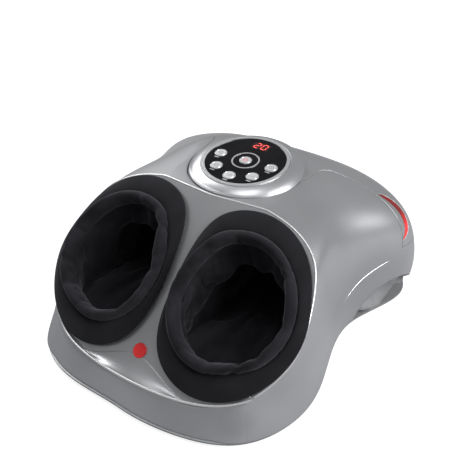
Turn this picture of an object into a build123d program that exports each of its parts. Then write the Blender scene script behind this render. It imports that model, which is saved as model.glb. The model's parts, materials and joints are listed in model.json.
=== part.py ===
from build123d import *
import math
import os

# A shiatsu foot massager: a silver moulded housing with a steep front deck, two padded
# foot openings, kneading heads under the soles and a round touch panel on top.
# Millimetres, +Z up, -Y towards the user. The origin is on the floor under the middle.

os.makedirs("parts", exist_ok=True)

# Driving sizes of the housing
body_width = 400.0
body_depth = 470.0
dome_top = 200.0
base_lift = 8.0
shell_wall = 3.0
seam_gap = 0.4
fit_gap = 0.3
running_gap = 0.05
cut_over = 60.0

half_width = body_width / 2
half_depth = body_depth / 2
shell_height = dome_top - base_lift

# Deck: the inclined front with its low ridge along the middle
deck_tilt = 43.0
deck_roof = 4.0
deck_back_share = -0.264
deck_height = 176.6

# Foot openings: collars, cuffs and liners
foot_spread = 85.0
collar_depth = 226.0
collar_centre = -76.0
collar_outer_half = 87.0
seam_half = 75.0
seam_depth = 168.0
frame_thick = 2.5
frame_inset = 2.0
pad_edge = 4.0
pad_rise = 9.5
pad_overhang = 9.0
cuff_rise = 13.0
cuff_wall = 5.5
cuff_lean = 3.0
liner_wall = 2.0
sole_level = 48.0
tunnel_half = 58.0
tunnel_roof = 134.0
tunnel_round = 42.0
tunnel_front = -100.0
tunnel_back = 112.0
bag_front = -22.0
bag_thick = 6.0
bag_foot = 12.0
shell_thick = 2.5

# Round touch panel and the pod that carries it
panel_back_share = 0.18
panel_height = 211.5
panel_tilt = 6.0
ring_radius = 57.5
ring_proud = 1.0
lens_radius = 53.0
lens_thick = 2.5
pod_radius = 76.0
pod_depth = 26.0
pod_wall = 3.0
key_circle = 38.3
key_radius = 8.1
key_proud = 1.2
key_round = 0.6
key_slack = 0.25
key_flange = 1.3
key_flange_thick = 1.8
key_stop_gap = 0.15
key_stem_radius = 2.5
key_rest_gap = 1.1
key_angles = {"mode": 180, "heat": 225, "air": 270, "strength": 315, "timer": 0}
power_ring_radius = 18.4
power_ring_width = 2.0
power_ring_proud = 0.5
power_ring_sunk = 1.0
board_level = 15.0
board_thick = 1.6
board_ledge = 4.0
switch_side = 6.0
switch_height = 4.2
display_width = 25.0
display_depth = 14.5
display_sunk = 0.2

# Kneading drive under each sole
gear_module = 2.2
wheel_teeth = 30
pinion_teeth = 12
pressure_angle = 20.0
addendum_share = 0.9
dedendum_share = 1.2
backlash = 0.35
wheel_face = 6.0
wheel_count = 3
first_wheel_back = -130.0
axle_radius = 4.0
axle_boss = 4.0
axle_boss_height = 2.0
tray_lift = 4.0
tray_thick = 3.0
tray_margin = 5.0
tray_wall = 3.0
tray_headroom = 10.0
thrust_gap = 0.3
carrier_radius = 28.5
carrier_thick = 3.7
node_circle = 17.0
node_radius = 10.5
node_neck = 9.0
node_top = 44.0
node_count = 3
guard_thick = 2.0
guard_window = 30.0
pinion_shaft_radius = 3.0
pinion_shaft_length = 16.0
gearbox_width = 34.0
gearbox_height = 18.0
gearbox_lift = 2.0
motor_radius = 16.0
motor_length = 46.0
heater_thick = 1.5
heater_gap = 0.4
heater_width = 84.0

# Air system between the two foot tunnels
pump_width = 27.0
pump_length = 70.0
pump_height = 42.0
pump_front = 10.0
valve_radius = 7.0
valve_height = 26.0
valve_count = 2
valve_pitch = 20.0
hose_radius = 2.6
hose_bend = 12.0
hose_level = 158.0
nozzle_height = 9.0

# Base pan, hand holds, feet, screws and mains inlet
pan_thick = 2.5
pan_inset = 1.5
rim_height = 9.0
rim_inset = 11.0
rim_wall = 2.0
arch_start_share = 0.235
arch_end_share = 0.80
arch_rise = 44.0
recess_radius = 26.0
recess_wall = 2.5
recess_sink = 2.0
recess_centre_share = 0.95
foot_radius = 13.0
foot_spots_shares = [(0.70, -0.745), (0.72, 0.70)]
screw_radius = 2.0
screw_head_radius = 3.8
screw_head_height = 2.2
screw_length = 16.0
boss_radius = 5.0
boss_height = 17.5
boss_overlap = 1.5
inlet_width = 19.0
inlet_height = 11.0
inlet_depth = 13.0
inlet_wall = 2.5
inlet_level = 40.0
inlet_proud = 0.4
inlet_pin_radius = 1.2
inlet_pin_length = 10.0
inlet_pin_spacing = 8.6
supply_width = 84.0
supply_depth = 46.0
supply_back = 160.0
supply_lift = 8.0
supply_post_radius = 3.0
transformer_width = 34.0
transformer_height = 24.0
badge_radius = 9.0
badge_sunk = 1.0
badge_proud = 0.8
badge_centre = -170.0

# Outline of the housing at eight heights. Each row holds the front, a point halfway to the
# front corner, the front corner, the side, the waist, the rear shoulder, the rear corner and
# the rear, as shares of the half width and of the half depth.
level_shares = [0.0, 0.083, 0.177, 0.427, 0.661, 0.844, 0.948, 1.0]
front_shares = [
    [(0.0, -0.995), (0.42, -0.975), (0.752, -0.85), (0.94, -0.447)],
    [(0.0, -0.957), (0.42, -0.94), (0.742, -0.818), (0.93, -0.447)],
    [(0.0, -0.908), (0.42, -0.893), (0.733, -0.775), (0.922, -0.445)],
    [(0.0, -0.85), (0.42, -0.83), (0.735, -0.715), (0.90, -0.44)],
    [(0.0, -0.77), (0.40, -0.75), (0.69, -0.645), (0.855, -0.42)],
    [(0.0, -0.67), (0.33, -0.65), (0.54, -0.575), (0.75, -0.30)],
    [(0.0, -0.489), (0.25, -0.48), (0.44, -0.42), (0.58, -0.19)],
    [(0.0, -0.255), (0.15, -0.25), (0.28, -0.212), (0.37, -0.064)],
]
rear_shares = [
    [(0.82, 0.226), (0.97, 0.715), (0.625, 0.966), (0.0, 1.0)],
    [(0.82, 0.226), (0.985, 0.72), (0.633, 0.962), (0.0, 0.996)],
    [(0.822, 0.226), (1.0, 0.723), (0.64, 0.957), (0.0, 0.991)],
    [(0.85, 0.226), (1.0, 0.685), (0.64, 0.923), (0.0, 0.957)],
    [(0.83, 0.191), (0.94, 0.63), (0.6, 0.855), (0.0, 0.889)],
    [(0.735, 0.149), (0.76, 0.54), (0.515, 0.72), (0.0, 0.76)],
    [(0.595, 0.149), (0.56, 0.44), (0.39, 0.58), (0.0, 0.62)],
    [(0.4, 0.149), (0.38, 0.34), (0.24, 0.447), (0.0, 0.472)],
]
section_shares = [front + rear for front, rear in zip(front_shares, rear_shares)]

# Collar outline on the deck, about the collar's centre, as shares of its half sizes
collar_shares = [
    (-0.90, -0.02), (-0.86, 0.42), (-0.66, 0.80), (-0.17, 0.97), (0.26, 0.93), (0.70, 0.70),
    (0.99, 0.27), (1.08, -0.10), (0.93, -0.53), (0.53, -0.88), (-0.12, -1.01), (-0.66, -0.80),
]
seam_shares = [
    (-0.97, 0.0), (-0.84, 0.46), (-0.56, 0.83), (-0.12, 0.97), (0.34, 0.91), (0.78, 0.60),
    (1.02, 0.15), (1.03, -0.22), (0.82, -0.62), (0.42, -0.88), (-0.10, -1.0), (-0.66, -0.76),
]

# Rear cover seam in plan beside the pod and over the shoulder, as shares of the half width
# and, measured from the panel's middle, of the half depth
shoulder_shares = [(0.40, 0.13), (0.42, 0.215), (0.52, 0.285), (0.66, 0.318)]
seam_side_share = 0.33
rear_seam_height_share = 0.50

# Accent lens: tips and bulges in side view, as shares of the half depth and shell height
lens_top_share = (0.525, 0.845)
lens_low_share = (0.51, 0.565)
lens_inner_bulge_share = 0.045
lens_outer_bulge_share = 0.095


def tilted(plane_origin, tilt, roof=0.0, side=1):
    """A plane that rises towards the back and falls towards its own side."""
    rise = math.radians(tilt)
    fall = math.radians(roof)
    normal = Vector(side * math.sin(fall), -math.sin(rise) * math.cos(fall), math.cos(rise) * math.cos(fall))
    uphill = Vector(0, math.cos(rise), math.sin(rise))
    return Plane(origin=plane_origin, x_dir=uphill.cross(normal), z_dir=normal)


def inset(points, distance):
    """Moves each point of a counter-clockwise outline inwards."""
    moved = []
    for i, here in enumerate(points):
        before = points[i - 1]
        after = points[(i + 1) % len(points)]
        run = math.hypot(after[0] - before[0], after[1] - before[1])
        moved.append((
            here[0] - (after[1] - before[1]) / run * distance,
            here[1] + (after[0] - before[0]) / run * distance,
        ))
    return moved


def closed_face(points, spacing=None):
    """A face inside one smooth closed curve. Spacing gives another outline's points, whose
    share of the way round is used."""
    pattern = spacing or points
    ways = [0.0]
    for here, after in zip(pattern, pattern[1:] + pattern[:1]):
        ways.append(ways[-1] + math.hypot(after[0] - here[0], after[1] - here[1]))
    knots = [way / ways[-1] for way in ways]
    return make_face(Edge.make_spline([Vector(x, y) for x, y in points], periodic=True, parameters=knots))


def body_outline(shares, distance=0.0):
    """The housing's outline at one height, both halves, counter-clockwise."""
    right = [(x * half_width, y * half_depth) for x, y in shares]
    left = [(-x, y) for x, y in right[-2:0:-1]]
    return inset(right + left, distance)


def body_solid(distance=0.0, ruled=False):
    """The housing's outer form, or the space inside it at a distance from the outside."""
    faces = []
    spacing = body_outline(section_shares[0])
    for level, shares in zip(level_shares, section_shares):
        height = base_lift + level * shell_height - distance * level
        height -= distance if level == 0 else 0
        faces.append(Plane.XY.offset(height) * closed_face(body_outline(shares, distance), spacing))
    return loft(faces, ruled=ruled)


deck_point = Vector(0, deck_back_share * half_depth, deck_height)
deck_planes = {side: tilted(deck_point, deck_tilt, deck_roof, side) for side in (1, -1)}
panel_centre = Vector(0, panel_back_share * half_depth, panel_height)
panel_plane = tilted(panel_centre, panel_tilt)
low_centre = (Align.CENTER, Align.CENTER, Align.MIN)


def side_name(side):
    """The side as seen from the front, where the user sits."""
    return "right" if side > 0 else "left"


def above_deck(side, depth=0.0):
    """Everything above one half of the deck, or above a level under it."""
    reach = body_depth + body_width
    return deck_planes[side].offset(-depth) * Box(reach, reach, reach, align=low_centre)


def deck_cut(solid, depth=0.0):
    """Takes off what stands above the deck."""
    for side in (1, -1):
        solid = solid - above_deck(side, depth)
    return solid


def collar_outline(side, distance=0.0):
    """The collar's outer edge on its deck half."""
    points = [
        (side * (foot_spread + x * collar_outer_half), collar_centre + y * collar_depth / 2)
        for x, y in collar_shares
    ]
    return inset(points if side < 0 else points[::-1], distance)


def seam_outline(side, distance=0.0):
    """The line where the cuff is sewn to the collar, on its deck half."""
    points = [
        (side * (foot_spread + x * seam_half), collar_centre + y * seam_depth / 2)
        for x, y in seam_shares
    ]
    return inset(points if side < 0 else points[::-1], distance)


def deck_prism(side, points, low, high):
    """A prism that stands on a deck half, between two heights over the deck."""
    return extrude(deck_planes[side].offset(low) * closed_face(points), amount=high - low)


def deck_loft(side, rows):
    """A solid through outlines at heights over a deck half."""
    plane = deck_planes[side]
    return loft([plane.offset(height) * closed_face(points) for height, points in rows], ruled=True)


def panel_disc(radius, low, high, x=0.0, y=0.0):
    """A disc square to the panel between two heights, at a place on the panel."""
    return panel_plane * Pos(x, y, low) * Cylinder(radius, high - low, align=low_centre)


def on_circle(radius, angle):
    """A place on a circle, with 0 degrees to the right and 90 to the back."""
    return radius * math.cos(math.radians(angle)), radius * math.sin(math.radians(angle))


def rear_region(gap=0.0):
    """The block that the rear cover is cut from, behind the seam that runs round the pod."""
    side_y = panel_centre.Y + seam_side_share * half_depth + gap
    shoulder = [(x * half_width - gap, panel_centre.Y + y * half_depth + gap) for x, y in shoulder_shares]
    reach = half_width + cut_over
    back = half_depth + cut_over
    turn = 10
    radius = pod_radius - pod_wall - gap
    x, y = on_circle(radius, -turn)
    start = (x, panel_centre.Y + y)
    front = (0, panel_centre.Y - radius)
    leaving = [on_circle(1, 90 - turn), (1, 0)]
    right = Spline(start, *shoulder, (reach, side_y), tangents=leaving)
    left = mirror(right, about=Plane.YZ)
    pod_arc = ThreePointArc((-start[0], start[1]), front, start)
    corners = [(reach, side_y), (reach, back), (-reach, back), (-reach, side_y)]
    edges = [Line(a, b) for a, b in zip(corners, corners[1:])]
    low = base_lift + rear_seam_height_share * shell_height + gap
    return extrude(Plane.XY.offset(low) * make_face([pod_arc, right, *edges, left]), amount=panel_height)


def lens_region(side):
    """A crescent seen from the side, carried through the side wall."""
    top = (lens_top_share[0] * half_depth, base_lift + lens_top_share[1] * shell_height)
    low = (lens_low_share[0] * half_depth, base_lift + lens_low_share[1] * shell_height)
    middle_y = (top[0] + low[0]) / 2
    middle_z = (top[1] + low[1]) / 2
    inner = ThreePointArc(top, (middle_y + lens_inner_bulge_share * half_depth, middle_z), low)
    outer = ThreePointArc(low, (middle_y + lens_outer_bulge_share * half_depth, middle_z), top)
    face = Plane.YZ.offset(side * half_width / 2) * make_face([inner, outer])
    return extrude(face, amount=side * half_width)


def arch_prism():
    """The arch under each side of the housing, where a hand goes in to lift it."""
    start = arch_start_share * half_depth
    end = arch_end_share * half_depth
    low = base_lift - cut_over
    curve = Spline((start, base_lift), ((start + end) / 2, base_lift + arch_rise), (end, base_lift))
    corners = [(end, base_lift), (end, low), (start, low), (start, base_lift)]
    edges = [Line(a, b) for a, b in zip(corners, corners[1:])]
    face = Plane.YZ.offset(-half_width - cut_over) * make_face([curve, *edges])
    return extrude(face, amount=body_width + 2 * cut_over)


def recess_bar(side, grow=0.0):
    """The rounded bar that hollows out the hand hold behind the arch."""
    start = arch_start_share * half_depth
    end = arch_end_share * half_depth
    half = (end - start) / 2 - recess_radius
    radius = recess_radius + grow
    corner = radius * math.sqrt(0.5)
    low_end = ThreePointArc((0, -half - radius), (corner, -half - corner), (radius, -half))
    high_end = ThreePointArc((radius, half), (corner, half + corner), (0, half + radius))
    edges = [low_end, Line((radius, -half), (radius, half)), high_end, Line((0, half + radius), (0, -half - radius))]
    bar = revolve(make_face(edges), axis=Axis.Y)
    level = base_lift + recess_radius - recess_sink
    return Pos(side * recess_centre_share * half_width, (start + end) / 2, level) * bar


def throat(side, points, high):
    """The way in for a foot: square to the deck at the collar, then straight down."""
    low = -2 * shell_wall
    face = deck_planes[side].offset(low) * closed_face(points)
    return deck_prism(side, points, low, high) + extrude(face, amount=deck_height, dir=(0, 0, -1))


def tunnel_form(side, grow, front, back, low):
    """The arched foot tunnel, grown outwards, from front to back and down to a level."""
    half = tunnel_half + grow
    high = tunnel_roof + grow
    bend = tunnel_round + grow
    x = side * foot_spread
    corner = bend * math.sqrt(0.5)
    left_arc = ThreePointArc(
        (x - half, high - bend), (x - half + bend - corner, high - bend + corner), (x - half + bend, high))
    right_arc = ThreePointArc(
        (x + half - bend, high), (x + half - bend + corner, high - bend + corner), (x + half, high - bend))
    edges = [
        Line((x - half, low), (x - half, high - bend)), left_arc,
        Line((x - half + bend, high), (x + half - bend, high)), right_arc,
        Line((x + half, high - bend), (x + half, low)), Line((x + half, low), (x - half, low)),
    ]
    face = Plane.XZ.offset(-front) * make_face(edges)
    return extrude(face, amount=front - back)


def gear_face(teeth, phase):
    """A spur gear's outline with flanks that follow the involute, and one tooth centred at a phase angle."""
    pitch = gear_module * teeth / 2
    base = pitch * math.cos(math.radians(pressure_angle))
    tip = pitch + addendum_share * gear_module
    root = pitch - dedendum_share * gear_module
    half_at_pitch = (math.pi * gear_module / 2 - backlash) / 2 / pitch

    def half_angle(radius):
        """Half the tooth's angle at a radius, in radians."""
        roll = math.acos(min(1.0, base / max(radius, base)))
        pitch_roll = math.radians(pressure_angle)
        return half_at_pitch + (math.tan(pitch_roll) - pitch_roll) - (math.tan(roll) - roll)

    radii = [root, max(base, root), pitch, tip]
    points = []
    for tooth in range(teeth):
        middle = math.radians(phase) + tooth * 2 * math.pi / teeth
        for radius in radii:
            points.append((radius, middle - half_angle(radius)))
        for radius in reversed(radii):
            points.append((radius, middle + half_angle(radius)))
    return make_face(Polyline(*[(r * math.cos(a), r * math.sin(a)) for r, a in points], close=True))


parts = {}

# Housing: the front cover with the deck, and the rear cover with the pod
inner_form = deck_cut(body_solid(shell_wall, ruled=True), shell_wall)
housing = deck_cut(body_solid()) - inner_form
rear_part = housing & rear_region(seam_gap / 2)
front_cover = housing - rear_region(-seam_gap / 2)
front_cover -= panel_disc(pod_radius + seam_gap, -pod_depth - seam_gap, cut_over)

flare = Spline(
    (pod_radius, -3.5 * pod_wall), ((pod_radius + ring_radius) / 2, -pod_wall), (ring_radius + pod_wall / 2, 0))
pod_edges = [
    Line((0, -pod_depth), (pod_radius, -pod_depth)), Line((pod_radius, -pod_depth), (pod_radius, -3.5 * pod_wall)),
    flare, Line((ring_radius + pod_wall / 2, 0), (0, 0)), Line((0, 0), (0, -pod_depth)),
]
board_under = -board_level - board_thick
rear_cover = panel_plane * revolve(Plane.XZ * make_face(pod_edges), axis=Axis.Z) + rear_part
rear_cover -= panel_disc(ring_radius + fit_gap / 2, -lens_thick, cut_over)
rear_cover -= panel_disc(lens_radius - pod_wall, board_under, 0)
rear_cover -= panel_disc(lens_radius - pod_wall - board_ledge, -pod_depth - cut_over, 0)
underside = panel_disc(pod_radius - pod_wall, -pod_depth - cut_over, -3 * pod_wall)
rear_cover -= underside - panel_disc(lens_radius, -pod_depth - cut_over, 0)
for side in (1, -1):
    rear_cover -= lens_region(side)
    ahead, behind = (Pos(0, y, 0) * lens_region(side) for y in (-fit_gap / 2, fit_gap / 2))
    parts["accent_lens_" + side_name(side)] = rear_part & ahead & behind
parts["rear_cover"] = rear_cover

front_cover -= arch_prism()
for side in (1, -1):
    front_cover -= deck_prism(side, seam_outline(side, pad_overhang), -cut_over / 2, cut_over)
badge_plane = tilted(deck_point + deck_planes[1].y_dir * badge_centre, deck_tilt)
badge_place = badge_plane * Pos(0, 0, -badge_sunk)
front_cover -= badge_place * Cylinder(badge_radius + fit_gap / 2, cut_over, align=low_centre)
parts["badge"] = badge_place * Cylinder(badge_radius, badge_sunk + badge_proud, align=low_centre)

boss_outline = inset(body_outline(section_shares[1]), shell_wall + boss_radius - boss_overlap)
boss_spots = [boss_outline[i] for i in (0, 3, 6, -3, -6)]
pilot_radius = screw_radius + running_gap
for x, y in boss_spots:
    front_cover += Pos(x, y, base_lift) * Cylinder(boss_radius, boss_height, align=low_centre)
    front_cover -= Pos(x, y, base_lift) * Cylinder(pilot_radius, screw_length, align=low_centre)

# Mains inlet at the low back
inlet_back = half_depth * section_shares[2][-1][1]
inlet_outer = Box(
    inlet_width + 2 * inlet_wall, inlet_depth + inlet_wall + inlet_proud, inlet_height + 2 * inlet_wall,
    align=(Align.CENTER, Align.MAX, Align.CENTER))
inlet_place = Pos(0, inlet_back + inlet_proud, inlet_level)
inlet_hollow = Box(inlet_width, inlet_depth, inlet_height, align=(Align.CENTER, Align.MAX, Align.CENTER))
inlet = inlet_outer - inlet_hollow
pin_end = -inlet_depth + inlet_pin_length / 2
for x in (-inlet_pin_spacing / 2, inlet_pin_spacing / 2):
    inlet += Pos(x, pin_end, 0) * Cylinder(inlet_pin_radius, inlet_pin_length, rotation=(90, 0, 0))
parts["mains_inlet"] = inlet_place * inlet
inlet_hole = Box(
    inlet_width + 2 * (inlet_wall + fit_gap / 2), cut_over, inlet_height + 2 * (inlet_wall + fit_gap / 2))
front_cover -= inlet_place * inlet_hole
parts["front_cover"] = front_cover

# Base pan with its locating rim and the walls of the hand holds
shell_grow = 2 * fit_gap + bag_thick
pan_bottom = base_lift - pan_thick
base_pan = extrude(Plane.XY.offset(pan_bottom) * closed_face(body_outline(section_shares[0], pan_inset)), amount=pan_thick)
rim_outer = closed_face(body_outline(section_shares[0], rim_inset))
rim_inner = closed_face(body_outline(section_shares[0], rim_inset + rim_wall))
rim = extrude(Plane.XY.offset(base_lift) * rim_outer, amount=rim_height)
rim -= extrude(Plane.XY.offset(base_lift) * rim_inner, amount=rim_height)
recess_room = body_solid(shell_wall + fit_gap, ruled=True)
recess_room &= Pos(0, 0, base_lift) * Box(body_width, body_depth, shell_height / 2, align=low_centre)
for side in (1, -1):
    rim -= recess_bar(side, recess_wall)
    rim -= tunnel_form(
        side, shell_grow + shell_thick + fit_gap, bag_front - fit_gap,
        tunnel_back + shell_thick + fit_gap, base_lift - 1)
    base_pan += (recess_bar(side, recess_wall) - recess_bar(side)) & recess_room
base_pan += rim
for x, y in boss_spots:
    base_pan -= Pos(x, y, pan_bottom) * Cylinder(pilot_radius, cut_over, align=low_centre)
    base_pan -= Pos(x, y, base_lift) * Cylinder(boss_radius + fit_gap, cut_over, align=low_centre)
parts["base_pan"] = base_pan

feet = []
for x, y in foot_spots_shares:
    for side in (1, -1):
        spot = Pos(side * x * half_width, y * half_depth, 0)
        foot = Cylinder(foot_radius, pan_bottom, align=low_centre)
        feet.append(spot * fillet(foot.edges().group_by(Axis.Z)[0], pan_bottom / 3))
parts["rubber_feet"] = Compound(feet)
screws = []
for x, y in boss_spots:
    shank = Pos(x, y, pan_bottom) * Cylinder(screw_radius, screw_length, align=low_centre)
    head = Pos(x, y, pan_bottom - screw_head_height) * Cylinder(screw_head_radius, screw_head_height, align=low_centre)
    screws.append(shank + head)
parts["housing_screws"] = Compound(screws)

# Collars, cuffs, liners, air bags and tunnels, one set for each foot
sole_under = sole_level - liner_wall
for side in (1, -1):
    name = side_name(side)
    mouth = seam_outline(side, pad_overhang)
    pad_top = frame_thick + pad_rise
    frame = deck_prism(side, collar_outline(side, frame_inset), 0, frame_thick)
    parts["collar_frame_" + name] = frame - deck_prism(side, mouth, -cut_over, cut_over)
    pad = deck_loft(side, [
        (frame_thick, collar_outline(side)), (frame_thick + pad_edge, collar_outline(side)),
        (pad_top, seam_outline(side))])
    parts["collar_pad_" + name] = pad - deck_prism(side, mouth, -cut_over, cut_over)
    cuff = deck_loft(side, [
        (pad_top, seam_outline(side, fit_gap)), (pad_top + cuff_rise, seam_outline(side, cuff_lean))])
    cuff -= deck_loft(side, [
        (pad_top, seam_outline(side, cuff_wall)),
        (pad_top + cuff_rise, seam_outline(side, cuff_wall + cuff_lean))])
    parts["cuff_" + name] = cuff

    outer_throat = throat(side, seam_outline(side, pad_overhang + fit_gap), pad_top)
    inner_throat = throat(side, seam_outline(side, pad_overhang + fit_gap + liner_wall), pad_top + fit_gap)
    floor_block = Box(body_width, 2 * body_depth, body_depth, align=(Align.CENTER, Align.CENTER, Align.MAX))
    outer_throat -= Pos(side * half_width, 0, sole_under) * floor_block
    inner_throat -= Pos(side * half_width, 0, sole_level) * floor_block
    liner = outer_throat + tunnel_form(side, 0, tunnel_front, tunnel_back, sole_under)
    liner -= inner_throat + tunnel_form(side, -liner_wall, tunnel_front - 1, tunnel_back - liner_wall, sole_level)
    parts["foot_liner_" + name] = liner

    bag = tunnel_form(side, fit_gap + bag_thick, bag_front, tunnel_back, sole_level + bag_foot)
    bag -= tunnel_form(side, fit_gap, bag_front - 1, tunnel_back + 1, sole_level)
    nozzle_x = side * (foot_spread - tunnel_half + tunnel_round + 2 * hose_radius)
    nozzle_y = pump_front + pump_length / 2
    bag_top = tunnel_roof + fit_gap + bag_thick
    nozzle = Pos(nozzle_x, nozzle_y, bag_top - 1) * Cylinder(hose_radius, nozzle_height + 1, align=low_centre)
    parts["air_bag_" + name] = bag + nozzle
    shell = tunnel_form(side, shell_grow + shell_thick, bag_front, tunnel_back + shell_thick, base_lift)
    shell -= tunnel_form(side, shell_grow, bag_front - 1, tunnel_back + cut_over, base_lift - 1)
    shell -= Pos(nozzle_x, nozzle_y, bag_top) * Cylinder(hose_radius + fit_gap, cut_over, align=low_centre)
    parts["foot_tunnel_" + name] = shell

# Kneading drive: three geared heads in a line, turned by a pinion behind them
wheel_pitch = gear_module * wheel_teeth
pinion_back = gear_module * (wheel_teeth + pinion_teeth) / 2
wheel_places = [first_wheel_back + i * wheel_pitch for i in range(wheel_count)]
wheel_reach = wheel_pitch / 2 + gear_module
tray_floor = base_lift + tray_lift
tray_top = tray_floor + tray_thick
wheel_low = tray_top + axle_boss_height + thrust_gap
carrier_top = wheel_low + wheel_face + carrier_thick
guard_low = tray_top + tray_headroom
tray_half = wheel_reach + tray_margin
tray_front = wheel_places[0] - tray_half
guard_back = wheel_places[-1] + wheel_reach
pinion_y = wheel_places[-1] + pinion_back
tray_back = pinion_y + gear_module * pinion_teeth / 2 + gearbox_lift + addendum_share * gear_module + tray_wall
head_names = ["heel", "arch", "toe"]


def plate(low, height, front, back, half):
    """A flat plate, centred across, from front to back."""
    return Pos(0, (front + back) / 2, low) * Box(2 * half, back - front, height, align=low_centre)


def kneading_head(index):
    """A gear wheel with its carrier disc and kneading nodes, on its own axis."""
    phase = 90 if index % 2 == 0 else 90 + 180 / wheel_teeth
    head = extrude(Plane.XY.offset(wheel_low) * gear_face(wheel_teeth, phase), amount=wheel_face)
    head += Pos(0, 0, wheel_low) * Cylinder(carrier_radius, wheel_face + carrier_thick, align=low_centre)
    for i in range(node_count):
        x, y = on_circle(node_circle, 90 + 360 * i / node_count + 60 * index)
        centre = node_top - node_radius
        head += Pos(x, y, carrier_top - carrier_thick) * Cylinder(
            node_neck, centre - carrier_top + carrier_thick, align=low_centre)
        head += Pos(x, y, centre) * Sphere(node_radius)
    return head - Pos(0, 0, wheel_low) * Cylinder(axle_radius + running_gap, wheel_face + 2 * carrier_thick, align=low_centre)


for side in (1, -1):
    name = side_name(side)
    across = Pos(side * foot_spread, 0, 0)
    tray = plate(tray_floor, tray_thick, tray_front, tray_back, tray_half)
    for x in (-tray_half + tray_wall / 2, tray_half - tray_wall / 2):
        wall = Pos(x, (tray_front + guard_back) / 2, tray_top) * Box(
            tray_wall, guard_back - tray_front, tray_headroom, align=low_centre)
        tray += wall
    tray += plate(tray_top, tray_headroom, tray_front, tray_front + tray_wall, tray_half)
    for y in (tray_front + tray_margin, (tray_front + tray_back) / 2, tray_back - tray_margin):
        for x in (-tray_half + tray_margin, tray_half - tray_margin):
            tray += Pos(x, y, base_lift) * Cylinder(tray_wall, tray_lift, align=low_centre)
    for y in wheel_places:
        tray += Pos(0, y, tray_top) * Cylinder(axle_radius + axle_boss, axle_boss_height, align=low_centre)
        tray += Pos(0, y, tray_top) * Cylinder(axle_radius, carrier_top - tray_top, align=low_centre)
    parts["drive_tray_" + name] = across * tray

    guard = plate(guard_low, guard_thick, tray_front, guard_back, tray_half)
    for y in wheel_places:
        guard -= Pos(0, y, guard_low - 1) * Cylinder(guard_window, cut_over, align=low_centre)
    parts["drive_guard_" + name] = across * guard

    for index, y in enumerate(wheel_places):
        parts["kneading_head_" + head_names[index] + "_" + name] = across * Pos(0, y, 0) * kneading_head(index)

    pinion_face = gear_face(pinion_teeth, 90 + 180 / pinion_teeth)
    pinion = extrude(Plane.XY.offset(wheel_low) * pinion_face, amount=wheel_face)
    pinion += Pos(0, 0, wheel_low) * Cylinder(pinion_shaft_radius, pinion_shaft_length, align=low_centre)
    parts["drive_pinion_" + name] = across * Pos(0, pinion_y, 0) * pinion

    gearbox_low = wheel_low + wheel_face + gearbox_lift
    gearbox_front = guard_back + fit_gap
    gearbox_back = tray_back
    motor_level = gearbox_low + gearbox_height - motor_radius
    gearbox = plate(gearbox_low, gearbox_height, gearbox_front, gearbox_back, gearbox_width / 2)
    gearbox += plate(tray_top, gearbox_low - tray_top, gearbox_back - tray_wall, gearbox_back, gearbox_width / 2)
    gearbox += Pos(0, gearbox_back + motor_length / 2, motor_level) * Cylinder(
        motor_radius, motor_length, rotation=(90, 0, 0))
    gearbox -= Pos(0, pinion_y, 0) * Cylinder(
        pinion_shaft_radius + running_gap, wheel_low + pinion_shaft_length + thrust_gap, align=low_centre)
    parts["gear_motor_" + name] = across * gearbox

    heater_low = node_top + heater_gap
    heater_back = wheel_places[-1] + node_circle + node_radius
    parts["heating_pad_" + name] = across * plate(
        heater_low, heater_thick, tray_front + 4 * tray_margin, heater_back, heater_width / 2)

# Air pump with its valves and hoses
pump_back = pump_front + pump_length
pump = plate(base_lift, pump_height, pump_front, pump_back, pump_width / 2)
hose_x = pump_width / 2 - 2 * hose_radius
hose_y = pump_front + pump_length / 2
pump_top = base_lift + pump_height
hoses = []
for side in (1, -1):
    pump += Pos(side * hose_x, hose_y, pump_top) * Cylinder(hose_radius, nozzle_height, align=low_centre)
    end_x = side * (foot_spread - tunnel_half + tunnel_round + 2 * hose_radius)
    end_z = tunnel_roof + fit_gap + bag_thick + nozzle_height
    route = FilletPolyline(
        (side * hose_x, hose_y, pump_top + nozzle_height), (side * hose_x, hose_y, end_z + 2 * hose_bend),
        (end_x, hose_y, end_z + 2 * hose_bend), (end_x, hose_y, end_z), radius=hose_bend)
    hoses.append(sweep(Plane(origin=route @ 0, z_dir=route % 0) * Circle(hose_radius), path=route))
parts["air_pump"] = pump
parts["air_hoses"] = Compound(hoses)
valves = []
for i in range(valve_count):
    valves.append(Pos(0, pump_front - valve_pitch * (i + 1) + valve_radius, base_lift) * Cylinder(
        valve_radius, valve_height, align=low_centre))
parts["air_valves"] = Compound(valves)

# Power supply at the back
supply = plate(base_lift + supply_lift, board_thick, supply_back - supply_depth / 2, supply_back + supply_depth / 2, supply_width / 2)
for x in (-1, 1):
    for y in (-1, 1):
        supply += Pos(
            x * (supply_width / 2 - 2 * supply_post_radius), supply_back + y * (supply_depth / 2 - 2 * supply_post_radius),
            base_lift) * Cylinder(supply_post_radius, supply_lift, align=low_centre)
supply += Pos(0, supply_back, base_lift + supply_lift + board_thick) * Box(
    transformer_width, transformer_width, transformer_height, align=low_centre)
parts["power_board"] = supply

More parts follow.
